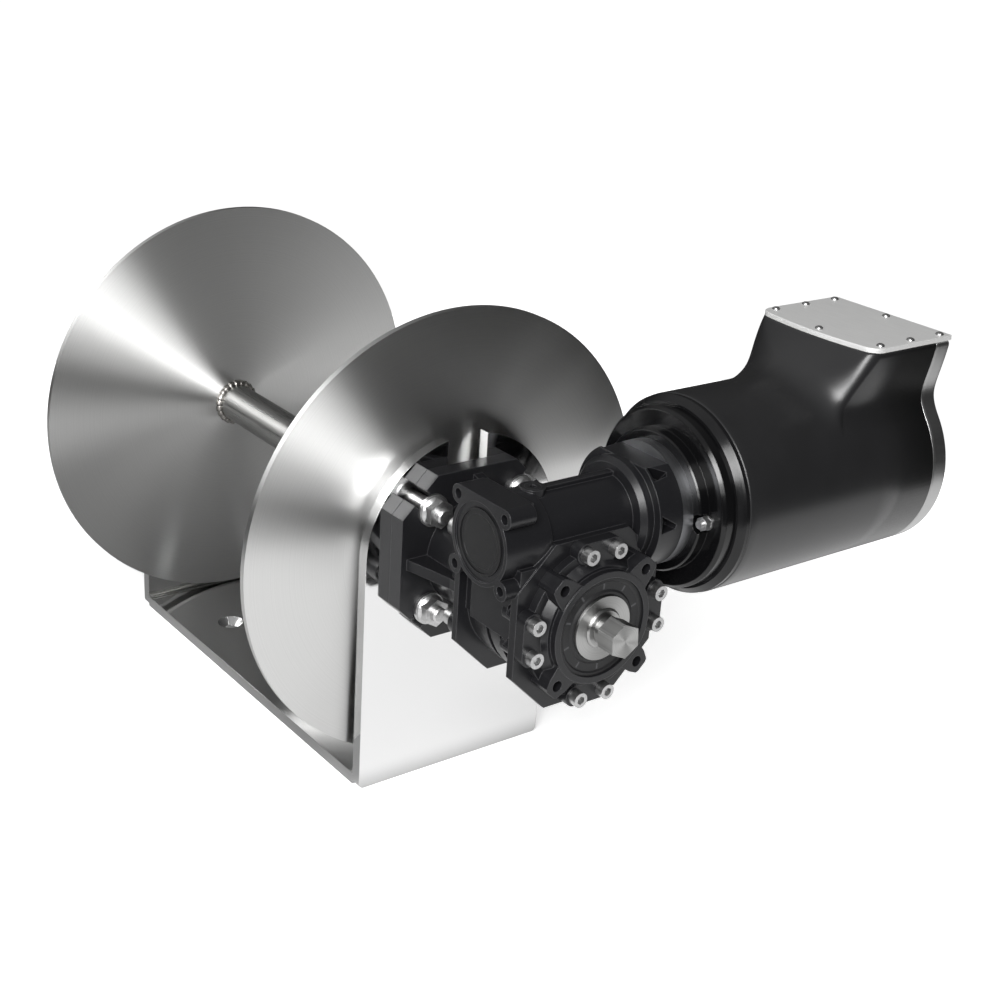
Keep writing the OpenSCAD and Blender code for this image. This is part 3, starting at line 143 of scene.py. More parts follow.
def off_axis(tree, centre, square):
    """Distance from an axis through a centre; square has a 1 for each direction square to it."""
    place = add(tree, "TexCoord", {}, {})
    offset = add(tree, "VectorMath", {"operation": "SUBTRACT"}, {
        0: place.outputs["Object"], 1: centre})
    flat = add(tree, "VectorMath", {"operation": "MULTIPLY"}, {
        0: offset.outputs["Vector"], 1: square})
    length = add(tree, "VectorMath", {"operation": "LENGTH"}, {0: flat.outputs["Vector"]})
    return length.outputs["Value"]


disc_steel, tree, shader = finish(
    "turned_stainless", Metallic=1.0, Anisotropic=1.0, Anisotropic_Rotation=0.25)
# Turning marks are about 0.15 mm apart, finer than a pixel, so they are drawn 0.9 mm apart
ring_mm = 0.9
marks = add(tree, "TexNoise", {"noise_dimensions": "1D"}, {
    "W": off_axis(tree, spool_axis, square_to_spool), "Scale": 1000 / ring_mm,
    "Detail": 3.0, "Roughness": 0.7})
grain = add(tree, "Tangent", {"direction_type": "RADIAL", "axis": "Y"}, {})
vary(tree, shader, marks.outputs["Fac"], ("#D2D2D1", "#E0E0DF"), (0.38, 0.42), span=(0.3, 0.7))
feed(tree, shader, {"Tangent": grain.outputs["Tangent"]})
wear(disc_steel, "gear_side_disc", "idle_side_disc")

# Core tube of the spool: stainless tube, drawn through a die and left as it comes. The die leaves
# lines along it, which break each highlight into streaks.
core_steel, tree, shader = finish("drawn_stainless_tube", Metallic=1.0)
# Die lines are finer than a pixel, so they are drawn 0.8 mm apart
line_mm, line_stretch = 0.8, (1, 60, 1)
lines = add(tree, "TexNoise", {}, {
    "Vector": millimetres(tree, line_stretch), "Scale": 1 / line_mm, "Detail": 3.0})
drawn = add(tree, "Bump", {}, {
    "Height": lines.outputs["Fac"], "Strength": 0.2, "Distance": 0.0002})
vary(tree, shader, lines.outputs["Fac"], ("#8F8F8E", "#C9C9C8"), (0.2, 0.4))
feed(tree, shader, {"Normal": drawn.outputs["Normal"]})
wear(core_steel, "spool_core")

# Weld beads at the discs: one run of filler all round the core on each side. Each step of the
# torch leaves a scale, so the bead is a ring of overlapping ripples with a grey heat stain.


def solid_piece(name, rows, body, material, closed_rows=False, caps=False, smooth=True):
    """A mesh from rows of points in metres.

    Each row is a closed loop of the same number of points, and is joined to the next one.
    """
    mesh = bmesh.new()
    loops = [[mesh.verts.new(point) for point in row] for row in rows]
    pairs = list(zip(loops, loops[1:])) + ([(loops[-1], loops[0])] if closed_rows else [])
    for first, second in pairs:
        count = len(first)
        for i in range(count):
            j = (i + 1) % count
            mesh.faces.new([first[i], first[j], second[j], second[i]])
    if caps:
        mesh.faces.new(loops[0])
        mesh.faces.new(loops[-1])
    bmesh.ops.recalc_face_normals(mesh, faces=mesh.faces)
    for face in mesh.faces:
        face.smooth = smooth
    data = bpy.data.meshes.new(name)
    mesh.to_mesh(data)
    mesh.free()
    piece = bpy.data.objects.new(name, data)
    bpy.context.scene.collection.objects.link(piece)
    data.materials.append(material)
    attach(piece, body)
    return piece


bead_steel, tree, shader = finish("stainless_weld_bead", Metallic=1.0)
stain_mm = 2.5
stain = add(tree, "TexNoise", {}, {
    "Vector": millimetres(tree), "Scale": 1 / stain_mm, "Detail": 3.0})
skin = add(tree, "Bump", {}, {
    "Height": stain.outputs["Fac"], "Strength": 0.25, "Distance": 0.0002})
vary(tree, shader, stain.outputs["Fac"], ("#6E6B68", "#C2BFBA"), (0.18, 0.42))
feed(tree, shader, {"Normal": skin.outputs["Normal"]})
bead_foot, bead_out, bead_high, bead_face = 0.01408, 0.0036, 0.0034, 0.1415
# A scale starts thin, swells slowly and ends in a sharp step where the next one laps over it
scales, scale_steps, arc_steps = 22, 8, 8
thin_start, growth, growth_power = 0.72, 0.28, 0.6
for side, name in ((-1, "gear_side_weld_bead"), (1, "idle_side_weld_bead")):
    rows = []
    for i in range(scales * scale_steps):
        turn = 2 * math.pi * i / (scales * scale_steps)
        swell = thin_start + growth * (i % scale_steps / (scale_steps - 1)) ** growth_power
        row = []
        for k in range(arc_steps + 1):
            sweep = math.pi / 2 * k / arc_steps
            out = bead_foot + bead_out * swell * math.sin(sweep)
            inward = bead_high * swell * math.cos(sweep)
            row.append((
                out * math.cos(turn), side * (bead_face - inward), axis_z + out * math.sin(turn)))
        row.append((
            bead_foot * math.cos(turn), side * bead_face, axis_z + bead_foot * math.sin(turn)))
        rows.append(row)
    bead = solid_piece(name, rows, "spool", bead_steel, closed_rows=True)
    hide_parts("spool_welds")

# Drive shaft and wheel hub: carbon steel, faced and turned. The tool leaves rings round the axis,
# so each face shows rays of light as the discs do, over a darker grey.
turned_steel, tree, shader = finish(
    "turned_carbon_steel", Metallic=1.0, Anisotropic=0.9, Anisotropic_Rotation=0.25)
# Tool marks are finer than a pixel, so they are drawn 0.6 mm apart
tool_mm = 0.6
marks = add(tree, "TexNoise", {"noise_dimensions": "1D"}, {
    "W": off_axis(tree, spool_axis, square_to_spool), "Scale": 1000 / tool_mm,
    "Detail": 3.0, "Roughness": 0.7})
grain = add(tree, "Tangent", {"direction_type": "RADIAL", "axis": "Y"}, {})
edge = add(tree, "Bevel", {"samples": 4}, {"Radius": 0.0003})
vary(tree, shader, marks.outputs["Fac"], ("#8E8E8D", "#BDBDBC"), (0.3, 0.42))
feed(tree, shader, {"Tangent": grain.outputs["Tangent"], "Normal": edge.outputs["Normal"]})
wear(turned_steel, "drive_shaft", "wheel_hub")

# Keys, drive pin, worm shaft and motor shaft: hardened steel, ground to size on a wheel. The
# wheel leaves fine lines and a soft satin shine.
ground_steel, tree, shader = finish("ground_steel", Metallic=1.0)
# Grinding lines are finer than a pixel, so they are drawn 0.5 mm apart
grind_mm, across_x = 0.5, (1, 30, 30)
lines = add(tree, "TexNoise", {}, {
    "Vector": millimetres(tree, across_x), "Scale": 1 / grind_mm, "Detail": 2.0})
vary(tree, shader, lines.outputs["Fac"], ("#9E9E9D", "#CFCFCE"), (0.2, 0.36))
wear(ground_steel, "shaft_key", "drive_pin", "worm_shaft", "motor_shaft", "motor_key")

# Reducer castings and the mounting flange: aluminium, pressure die cast, sprayed satin black.
# The paint shows the sandy skin of the casting and is thin along the edges, where a paler grey
# stands partly for this wear and partly as a painted highlight of the edge glints.
casting_black, tree, shader = finish(
    "satin_black_casting", Metallic=0.0, IOR=1.5, Specular_IOR_Level=0.36)
# The sand of the skin is finer than a pixel, so it is drawn 1.1 mm apart
sand_mm, speck_mm, wear_and_glint_share = 1.1, 2.2, 0.4
spot = millimetres(tree)
sand = add(tree, "TexNoise", {}, {"Vector": spot, "Scale": 1 / sand_mm, "Detail": 2.0})
sandy = add(tree, "Bump", {}, {
    "Height": sand.outputs["Fac"], "Strength": 0.12, "Distance": 0.00012})
edge = add(tree, "Bevel", {"samples": 6}, {"Radius": 0.0007, "Normal": sandy.outputs["Normal"]})
# Specks of overspray, a little paler than the paint
specks = add(tree, "TexVoronoi", {}, {"Vector": spot, "Scale": 1 / speck_mm})
dots = add(tree, "MapRange", {}, {
    "Value": specks.outputs["Distance"], "From Min": 0.05, "From Max": 0.16,
    "To Min": 1.0, "To Max": 0.0})
paint = add(tree, "MixRGB", {}, {
    "Fac": dots.outputs["Result"], "Color1": linear("#18181A"), "Color2": linear("#262628")})
# The paint is thin where a bevelled edge leans away from the face, and the paler grey there is
# also a painted edge highlight
bevelled = add(tree, "Bevel", {"samples": 6}, {"Radius": 0.0008})
face = add(tree, "NewGeometry", {}, {})
lean = add(tree, "VectorMath", {"operation": "DOT_PRODUCT"}, {
    0: bevelled.outputs["Normal"], 1: face.outputs["Normal"]})
thin_paint_and_glint = add(tree, "MapRange", {}, {
    "Value": lean.outputs["Value"], "From Min": 0.82, "From Max": 0.985,
    "To Min": wear_and_glint_share, "To Max": 0.0})
# Paler grey on the edges: partly rubbed paint, partly a painted highlight
rubbed_and_glint = add(tree, "MixRGB", {}, {
    "Fac": thin_paint_and_glint.outputs["Result"], "Color1": paint.outputs["Color"],
    "Color2": linear("#59595B")})
vary(tree, shader, sand.outputs["Fac"], roughness=(0.26, 0.36))
feed(tree, shader, {"Base Color": rubbed_and_glint.outputs["Color"], "Normal": edge.outputs["Normal"]})
wear(casting_black, "mounting_flange", "gearbox_housing", "output_cover", "oil_plug",
     "idle_bearing_housing")

# Bolts, washers, nuts and cap screws: steel with bright zinc plating, cold headed and rolled.
# The plating is uneven, so each head has soft light and dark patches.
bright_zinc, tree, shader = finish("bright_zinc_plated_steel", Metallic=1.0)
patch_mm = 1.6
patches = add(tree, "TexNoise", {}, {
    "Vector": millimetres(tree), "Scale": 1 / patch_mm, "Detail": 3.0})
dimple = add(tree, "Bump", {}, {
    "Height": patches.outputs["Fac"], "Strength": 0.35, "Distance": 0.0001})
edge = add(tree, "Bevel", {"samples": 4}, {"Radius": 0.0002, "Normal": dimple.outputs["Normal"]})
vary(tree, shader, patches.outputs["Fac"], ("#9E9E9E", "#DADADA"), (0.28, 0.46))
feed(tree, shader, {"Normal": edge.outputs["Normal"]})
wear(bright_zinc, "flange_bolts", "flange_washers", "flange_nuts", "flange_screws",
     "cover_screws", "adapter_screws", "motor_stud_nuts", "through_bolts", "end_cap_screws",
     "top_plate_screws", "idle_housing_fasteners", "shaft_collar")

# Shaft seals: nitrile rubber, moulded onto a steel ring and pressed in. They are dark grey, with
# the dull bloom of rubber and dust in the pores.
nitrile, tree, shader = finish(
    "moulded_nitrile_rubber", Metallic=0.0, IOR=1.5, Specular_IOR_Level=0.3)
# Pores and mould rings are finer than a pixel, so both are drawn 0.8 mm apart
pore_mm, mould_ring_mm = 0.8, 0.8
pores = add(tree, "TexNoise", {}, {
    "Vector": millimetres(tree), "Scale": 1 / pore_mm, "Detail": 3.0})
pitted = add(tree, "Bump", {}, {
    "Height": pores.outputs["Fac"], "Strength": 0.2, "Distance": 0.0001})
shade = add(tree, "MixRGB", {}, {
    "Fac": pores.outputs["Fac"], "Color1": linear("#161617"), "Color2": linear("#242425")})
# Ten short ribs stand round the face of the output seal. They have no relief here; their lit tops
# are painted a paler grey, a painted highlight. Half a rib's width is given as a part of the step
# from rib to rib, and the radius of the ring of ribs and half their length in metres.
seal_ribs, rib_half_width, rib_radius, rib_half_length = 10, 0.035, 0.0256, 0.0018
place = add(tree, "TexCoord", {}, {})
parts = add(tree, "SeparateXYZ", {}, {0: place.outputs["Object"]})
height = add(tree, "Math", {"operation": "SUBTRACT"}, {0: parts.outputs["Z"], 1: axis_z})
angle = add(tree, "Math", {"operation": "ARCTAN2"}, {
    0: height.outputs["Value"], 1: parts.outputs["X"]})
step = add(tree, "Math", {"operation": "MULTIPLY"}, {
    0: angle.outputs["Value"], 1: seal_ribs / (2 * math.pi)})
within = add(tree, "Math", {"operation": "FRACT"}, {0: step.outputs["Value"]})
rib = add(tree, "Math", {"operation": "COMPARE"}, {
    0: within.outputs["Value"], 1: 0.5, 2: rib_half_width})
radius = off_axis(tree, spool_axis, square_to_spool)
ribbed = add(tree, "Math", {"operation": "COMPARE"}, {0: radius, 1: rib_radius, 2: rib_half_length})
ribs = add(tree, "Math", {"operation": "MULTIPLY"}, {
    0: rib.outputs["Value"], 1: ribbed.outputs["Value"]})
# Paler grey on the ribs: a painted highlight of their raised tops
painted_rib_highlight = add(tree, "MixRGB", {}, {
    "Fac": ribs.outputs["Value"], "Color1": shade.outputs["Color"],
    "Color2": linear("#464648")})
rings = add(tree, "TexNoise", {"noise_dimensions": "1D"}, {
    "W": radius, "Scale": 1000 / mould_ring_mm, "Detail": 3.0, "Roughness": 0.7})
vary(tree, shader, rings.outputs["Fac"], roughness=(0.36, 0.5))
feed(tree, shader, {"Base Color": painted_rib_highlight.outputs["Color"], "Normal": pitted.outputs["Normal"]})
wear(nitrile, "output_seals", "input_seal")

# Rubber ring in the cover mouth: black rubber, extruded as a cord and butted into a ring. Its
# skin is smooth and glossy, and streaked a little along the cord.
gloss_rubber, tree, shader = finish(
    "extruded_black_rubber", Metallic=0.0, IOR=1.5, Specular_IOR_Level=0.3)
flow_mm, flow_stretch = 3, (1, 4, 4)
flow = add(tree, "TexNoise", {}, {
    "Vector": millimetres(tree, flow_stretch), "Scale": 1 / flow_mm, "Detail": 2.0})
vary(tree, shader, flow.outputs["Fac"], ("#0C0C0D", "#181819"), (0.14, 0.24))
wear(gloss_rubber, "cover_mouth_seal")

# End plug of the worm bore: a steel cap with a bonded rubber coat, pressed in. The coat is nearly
# black and smooth, and steps up near its rim.
coated_plug, tree, shader = finish(
    "rubber_coated_plug", Metallic=0.0, IOR=1.5, Specular_IOR_Level=0.3, Roughness=0.4)
# The worm and the motor share one axis, along X
motor_y, motor_z = -0.2525, 0.210
step_inside, step_outside, coat_mm = 0.0158, 0.0162, 1.2
rim = add(tree, "MapRange", {"interpolation_type": "SMOOTHSTEP"}, {
    "Value": off_axis(tree, (0, motor_y, motor_z), (0, 1, 1)),
    "From Min": step_inside, "From Max": step_outside, "To Min": 0.0, "To Max": 1.0})
step = add(tree, "Bump", {}, {
    "Height": rim.outputs["Result"], "Strength": 1.0, "Distance": 0.0004})
pores = add(tree, "TexNoise", {}, {
    "Vector": millimetres(tree), "Scale": 1 / coat_mm, "Detail": 4.0})
pitted = add(tree, "Bump", {}, {
    "Height": pores.outputs["Fac"], "Strength": 0.15, "Distance": 0.0001,
    "Normal": step.outputs["Normal"]})
vary(tree, shader, pores.outputs["Fac"], ("#131314", "#1C1C1D"))
feed(tree, shader, {"Normal": pitted.outputs["Normal"]})
wear(coated_plug, "worm_end_plug")

# Adapter ring between the reducer and the motor: aluminium bar, turned and left bare. The tool
# leaves fine rings round the motor axis.
turned_aluminium, tree, shader = finish("turned_aluminium", Metallic=1.0)
# Tool marks are finer than a pixel, so they are drawn 0.5 mm apart
feed_mm = 0.5
rings = add(tree, "TexNoise", {}, {
    "Vector": millimetres(tree, across_x), "Scale": 1 / feed_mm, "Detail": 2.0})
vary(tree, shader, rings.outputs["Fac"], ("#86878A", "#B4B5B8"), (0.28, 0.42))
wear(turned_aluminium, "input_adapter")

# Front plate of the motor: aluminium, machined, with gloss black enamel. Light lies on it in
# sharp patches, and the enamel has a faint orange peel.
gloss_enamel, tree, shader = finish(
    "gloss_black_enamel", Metallic=0.0, IOR=1.5, Base_Color=linear("#0B0B0C"),
    Specular_IOR_Level=0.36)
peel_mm = 2.4
peel = add(tree, "TexNoise", {}, {
    "Vector": millimetres(tree), "Scale": 1 / peel_mm, "Detail": 1.0})
wavy = add(tree, "Bump", {}, {
    "Height": peel.outputs["Fac"], "Strength": 0.15, "Distance": 0.0001})
edge = add(tree, "Bevel", {"samples": 4}, {"Radius": 0.0008, "Normal": wavy.outputs["Normal"]})
vary(tree, shader, peel.outputs["Fac"], roughness=(0.1, 0.18))
feed(tree, shader, {"Normal": edge.outputs["Normal"]})
wear(gloss_enamel, "motor_front_plate")

# Motor can and rear bell: rolled steel tube and a cast end, under plain black paint. The paint
# dries with a light texture of drops.
motor_paint, tree, shader = finish("black_painted_steel", Metallic=0.0, IOR=1.5)
drop_mm = 1.5
drops = add(tree, "TexNoise", {}, {
    "Vector": millimetres(tree), "Scale": 1 / drop_mm, "Detail": 2.0})
wavy = add(tree, "Bump", {}, {
    "Height": drops.outputs["Fac"], "Strength": 0.15, "Distance": 0.0001})
vary(tree, shader, drops.outputs["Fac"], ("#17171A", "#252528"), (0.3, 0.45))
feed(tree, shader, {"Normal": wavy.outputs["Normal"]})
wear(motor_paint, "motor_can", "motor_rear_bell")

# Motor cover: a shell moulded in black ABS with a satin skin. An upright hood grows out of the
# round body, with a bowed front and a rounded ridge down each flank that fades into the body.
round_r, wall, crease = 0.0625, 0.003, 0.0006
hood_half, hood_top = 0.0493, 0.088
# Along X: the mouth and its rolled edge, where the hood starts to rise, the front of the hood at
# full height, and the two ends of the end cap, which the cover all but touches
mouth_x, mouth_roll, rise_x, hood_x = 0.091, 0.0012, 0.126, 0.197
cap_x0, cap_x1, cap_gap = 0.255, 0.269, 0.0001
hood_bow, front_corner, corner_power = 0.005, 0.008, 4
# The flank leaves the round body at arc_top, and the front of the hood turns up to its steepest
arc_top, steepest = math.radians(36), math.radians(66)
# The ridge starts low on the round body, and climbs slowly at first
ridge_foot, ridge_power, ridge_limit = 0.72, 2.5, 0.95
# Its corner is wide and soft at the start, and sharpens to this radius at full height
corner_r, corner_growth, inward_growth, inward_limit = 0.004, 0.08, 0.12, 0.03
# Handles of the curve of the flank, as parts of the body's radius and of the hood's height
lower_handle, upper_handle, upper_lean = 0.34, 0.42, Vector((0.12, 0.9))
round_points, flank_points, corner_points, dome_points = 48, 24, 10, 16
body_rows, hood_rows, roll_rows, halvings = 6, 44, 7, 30


def between(t, p0, p1, p2, p3):
    """A point on a cubic curve."""
    return ((1 - t) ** 3 * p0 + 3 * (1 - t) ** 2 * t * p1 + 3 * (1 - t) * t * t * p2
            + t ** 3 * p3)


def cover_section(inset, a):
    """Loop of the cover's section where the front of the hood has turned up by an angle."""
    r, w, h = round_r - inset, hood_half - inset, hood_top - inset
    s = math.sin(a) / math.sin(steepest)
    blend = (s * s * (3 - 2 * s)) ** 2
    crown = r + (h - r) * (1 - math.cos(a)) / (1 - math.cos(steepest))
    ridge = ridge_foot * r + (h - ridge_foot * r) * s ** ridge_power
    corner = min(corner_r + corner_growth * (1 - s), ridge_limit * (ridge - r * math.sin(arc_top)))
    inward = min(corner_r + inward_growth * (1 - s), inward_limit)
    start, end = Vector((r * math.cos(arc_top), r * math.sin(arc_top))), Vector((w, h))
    along = Vector((-math.sin(arc_top), math.cos(arc_top)))
    flank = (start, start + lower_handle * r * along, end - upper_handle * h * upper_lean, end)

    def reach(height):
        """How far up the curve of the flank a height lies."""
        low, high = 0, 1
        for _ in range(halvings):
            middle = (low + high) / 2
            if between(middle, *flank).y < height:
                low = middle
            else:
                high = middle
        return low

    peak = Vector((between(reach(ridge), *flank).x, ridge))
    top_t = reach(ridge - corner)
    side, dome_half = between(top_t, *flank), peak.x - inward
    dome = []
    for i in range(dome_points + 1):
        y = dome_half * (1 - i / dome_points)
        dome.append(Vector((y, crown - (crown - ridge) * (y / peak.x) ** 2)))
    half = []
    for i in range(round_points + 1):
        turn = (arc_top + math.pi / 2) * i / round_points - math.pi / 2
        half.append(Vector((r * math.cos(turn), r * math.sin(turn))))
    half += [between(top_t * i / flank_points, *flank) for i in range(1, flank_points + 1)]
    for i in range(1, corner_points + 1):
        t = i / corner_points
        half.append((1 - t) ** 2 * side + 2 * t * (1 - t) * peak + t * t * dome[0])
    half = [p * (blend + (1 - blend) * r / p.length) for p in half + dome[1:]]
    return [(p.x, p.y) for p in half] + [(-p.x, p.y) for p in half[-2:0:-1]]


def front_edge(y):
    """Where the bowed front of the hood lies along X, and how far its rounded corner falls back."""
    out = min(max(abs(y) - (hood_half - front_corner), 0), front_corner)
    bow = hood_bow * max(1 - (y / hood_half) ** 2, 0)
    return hood_x - bow, front_corner - math.sqrt(front_corner ** 2 - out ** 2)


def cover_rows(inset, start, end):
    """Rows of the cover's skin from one station along X to another."""
    rows = [[(start + (rise_x - start) * k / body_rows, y, z) for y, z in cover_section(inset, 0)]
            for k in range(body_rows)]
    for k in range(hood_rows + 1):
        a = steepest * k / hood_rows
        s = math.sin(a) / math.sin(steepest)
        row = []
        for y, z in cover_section(inset, a):
            front, rounding = front_edge(y)
            x = rise_x + (front + inset - rise_x) * s + rounding * s ** corner_power
            row.append((x, y, z))
        rows.append(row)
    rows.append([(x + crease, y, z) for x, y, z in rows[-1]])
    rows.append([(end, y, z) for y, z in cover_section(inset, steepest)])
    return [[(x, motor_y + y, motor_z + z) for x, y, z in row] for row in rows]


def mouth_rows():
    """Rows that roll the mouth's edge over from the inside to the outside of the wall."""
    rows = []
    for k in range(1, roll_rows + 1):
        a = math.pi * k / (roll_rows + 1)
        inset, forward = wall / 2 * (1 + math.cos(a)), mouth_roll * math.sin(a)
        rows.append([(mouth_x + mouth_roll - forward, motor_y + y, motor_z + z)
                     for y, z in cover_section(inset, 0)])
    return rows


satin_abs, tree, shader = finish("satin_moulded_abs", Metallic=0.0, IOR=1.53)
spark_mm, cloud_mm = 0.9, 30
spot = millimetres(tree)
# The spark-eroded skin of the mould is finer than a pixel, so its grain is drawn 0.9 mm apart
spark = add(tree, "TexNoise", {}, {"Vector": spot, "Scale": 1 / spark_mm, "Detail": 2.0})
grainy = add(tree, "Bump", {}, {
    "Height": spark.outputs["Fac"], "Strength": 0.12, "Distance": 0.00008})
edge = add(tree, "Bevel", {"samples": 4}, {"Radius": 0.0008, "Normal": grainy.outputs["Normal"]})
cloud = add(tree, "TexNoise", {}, {"Vector": spot, "Scale": 1 / cloud_mm, "Detail": 2.0})
vary(tree, shader, cloud.outputs["Fac"], colours=("#1A1A1B", "#222223"))
vary(tree, shader, spark.outputs["Fac"], roughness=(0.26, 0.36))
feed(tree, shader, {"Normal": edge.outputs["Normal"]})
skin_ends = mouth_x + mouth_roll, cap_x0 - cap_gap
inner_rows = list(reversed(cover_rows(wall, *skin_ends)))
cover = solid_piece(
    "motor_cover_shell", inner_rows + mouth_rows() + cover_rows(0, *skin_ends),
    "frame", satin_abs, closed_rows=True)
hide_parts("motor_cover")

# End cap of the cover: stainless sheet, drawn to a shallow dish and buffed. Its rolled edge
# catches the light in a narrow, soft band.
polished_band, tree, shader = finish(
    "polished_stainless_band", Metallic=1.0, Base_Color=linear("#B4B4B4"))
# Buffing lines are finer than a pixel, so they are drawn 0.8 mm apart
buff_mm, along_x = 0.8, (20, 1, 1)
buff = add(tree, "TexNoise", {}, {
    "Vector": millimetres(tree, along_x), "Scale": 1 / buff_mm, "Detail": 2.0})
vary(tree, shader, buff.outputs["Fac"], roughness=(0.26, 0.4))
cap_edge, cap_lip, ring_step = 0.0025, 0.0004, 0.012
side_rows, edge_rows = 4, 8


def cap_row(inset, x):
    """One row of the end cap."""
    return [(x, motor_y + y, motor_z + z) for y, z in cover_section(inset, steepest)]


rows = [cap_row(cap_edge, cap_x0), cap_row(cap_lip, cap_x0), cap_row(0, cap_x0 + cap_lip)]
for k in range(1, side_rows):
    rows.append(cap_row(0, cap_x0 + (cap_x1 - cap_edge - cap_x0) * k / side_rows))
for k in range(edge_rows + 1):
    a = math.pi / 2 * k / edge_rows
    rows.append(cap_row(
        cap_edge * (1 - math.cos(a)), cap_x1 - cap_edge + cap_edge * math.sin(a)))
rows += [cap_row(ring_step * k, cap_x1) for k in (1, 2, 3)]
cap = solid_piece(
    "cover_end_dish", rows, "frame", polished_band, caps=True)
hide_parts("cover_end_cap")

# Top plate of the hood: 3 mm stainless sheet, belt ground, pickled and held by eight screws. It
# is a light satin grey, and the grain runs across the cover.
satin_sheet, tree, shader = finish("satin_ground_sheet", Metallic=0.45)
# Belt lines are finer than a pixel, so they are drawn 0.7 mm apart
belt_mm, belt_stretch = 0.7, (1, 25, 1)
belt = add(tree, "TexNoise", {}, {
    "Vector": millimetres(tree, belt_stretch), "Scale": 1 / belt_mm, "Detail": 3.0})
edge = add(tree, "Bevel", {"samples": 4}, {"Radius": 0.0006})
vary(tree, shader, belt.outputs["Fac"], ("#E4E4E3", "#F6F6F5"), (0.42, 0.54))
feed(tree, shader, {"Normal": edge.outputs["Normal"]})
plate_foot, plate_top, plate_edge = 0.298, 0.301, 0.0004
back_corner, flank_from, front_points = 0.001, 0.04, 20


def plate_row(z, shrink):
    """Outline of the top plate at one height, drawn in by a small distance."""
    half = []
    for k in range(front_points + 1):
        y = hood_half * math.sin(math.pi / 2 * k / front_points)
        half.append((sum(front_edge(y)), y))
    half += [(cap_x1 - back_corner, hood_half), (cap_x1, hood_half - back_corner)]
    loop = half + [(x, -y) for x, y in reversed(half)][:-1]
    middle = (hood_x + cap_x1) / 2
    row = []
    for x, y in loop:
        sideways = math.copysign(shrink, y) if abs(y) > flank_from else 0
        row.append((x + math.copysign(shrink, middle - x), motor_y + y - sideways, z))
    return row


rows = [plate_row(plate_foot, 0), plate_row(plate_top - plate_edge, 0),
        plate_row(plate_top, plate_edge)]
plate = solid_piece(
    "cover_top_sheet", rows, "frame", satin_sheet, caps=True, smooth=False)
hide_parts("cover_top_plate")

# Contactor box and cable glands: nylon filled with glass fibre, moulded under pressure. The fibre
# leaves a dark, slightly mottled skin.
nylon, tree, shader = finish("moulded_black_nylon", Metallic=0.0, IOR=1.53)
mottle_mm = 2
mottle = add(tree, "TexNoise", {}, {
    "Vector": millimetres(tree), "Scale": 1 / mottle_mm, "Detail": 3.0})
edge = add(tree, "Bevel", {"samples": 4}, {"Radius": 0.0005})
vary(tree, shader, mottle.outputs["Fac"], ("#1C1C1D", "#2B2B2C"), (0.35, 0.5))
feed(tree, shader, {"Normal": edge.outputs["Normal"]})
wear(nylon, "contactor", "cable_glands")

# Bearing rings: hardened steel, ground and superfinished. They are nearly a mirror, with a faint
# trace of the stone.
race_steel, tree, shader = finish("superfinished_bearing_steel", Metallic=1.0)
# The trace is finer than a pixel, so it is drawn 0.5 mm apart
trace_mm = 0.5
trace = add(tree, "TexNoise", {}, {
    "Vector": millimetres(tree), "Scale": 1 / trace_mm, "Detail": 2.0})
vary(tree, shader, trace.outputs["Fac"], ("#B0B2B6", "#D2D4D8"), (0.06, 0.16))
wear(race_steel, "wheel_bearing_outers", "wheel_bearing_inners", "rotor_bearing_outers",
     "rotor_bearing_inners")

# Bearing cages with their balls, and the studs of the contactor: brass, pressed or turned. It has
# a warm, uneven shine.
cage_brass, tree, shader = finish("pressed_brass", Metallic=1.0)
tarnish_mm = 0.5
tarnish = add(tree, "TexNoise", {}, {
    "Vector": millimetres(tree), "Scale": 1 / tarnish_mm, "Detail": 3.0})
vary(tree, shader, tarnish.outputs["Fac"], ("#B08A3E", "#D6B668"), (0.2, 0.4))
wear(cage_brass, "wheel_bearing_cages", "rotor_bearing_cages", "contactor_studs")

# Worm wheel: tin bronze, cast round its hub and hobbed. It is warm and slightly blotched, because
# the tin is spread unevenly.
cast_bronze, tree, shader = finish("hobbed_tin_bronze", Metallic=1.0)
blotch_mm = 3
blotch = add(tree, "TexNoise", {}, {
    "Vector": millimetres(tree), "Scale": 1 / blotch_mm, "Detail": 3.0})
vary(tree, shader, blotch.outputs["Fac"], ("#9C6B34", "#C99654"), (0.24, 0.42))
wear(cast_bronze, "worm_wheel")

# Field magnets of the motor: ferrite powder, pressed and sintered, glued into the can. They are
# dark grey and gritty.
ferrite, tree, shader = finish("sintered_ferrite", Metallic=0.0, IOR=1.8, Roughness=0.55)
grit_mm = 1
grit = add(tree, "TexNoise", {}, {
    "Vector": millimetres(tree), "Scale": 1 / grit_mm, "Detail": 4.0})
vary(tree, shader, grit.outputs["Fac"], ("#303134", "#4A4B4F"))
wear(ferrite, "field_magnets")

# Armature core: stamped steel sheets, stacked and dipped in brown varnish. The edges of the
# sheets make fine bands across it.
laminations, tree, shader = finish("varnished_laminations", Metallic=0.7, Roughness=0.4)
# Real sheets are 0.5 mm thick, finer than a pixel, so they are drawn 1 mm thick. A wave texture
# of scale 1 has about 3.14 bands in each unit.
sheet_mm, bands_per_unit = 1.0, 3.14
sheets = add(tree, "TexWave", {"bands_direction": "X"}, {
    "Vector": millimetres(tree), "Scale": 1 / (sheet_mm * bands_per_unit)})
vary(tree, shader, sheets.outputs["Color"], ("#5A4436", "#8C7460"))
wear(laminations, "armature_core")

# Commutator: copper bars, moulded into a ring and turned. The brushes leave it bright, with
# darker and paler tracks.
copper, tree, shader = finish("turned_copper", Metallic=1.0, Roughness=0.28)
track_mm = 1
tracks = add(tree, "TexNoise", {}, {
    "Vector": millimetres(tree, along_x), "Scale": 1 / track_mm, "Detail": 2.0})
vary(tree, shader, tracks.outputs["Fac"], ("#A8643C", "#DE9A6C"))
wear(copper, "commutator")

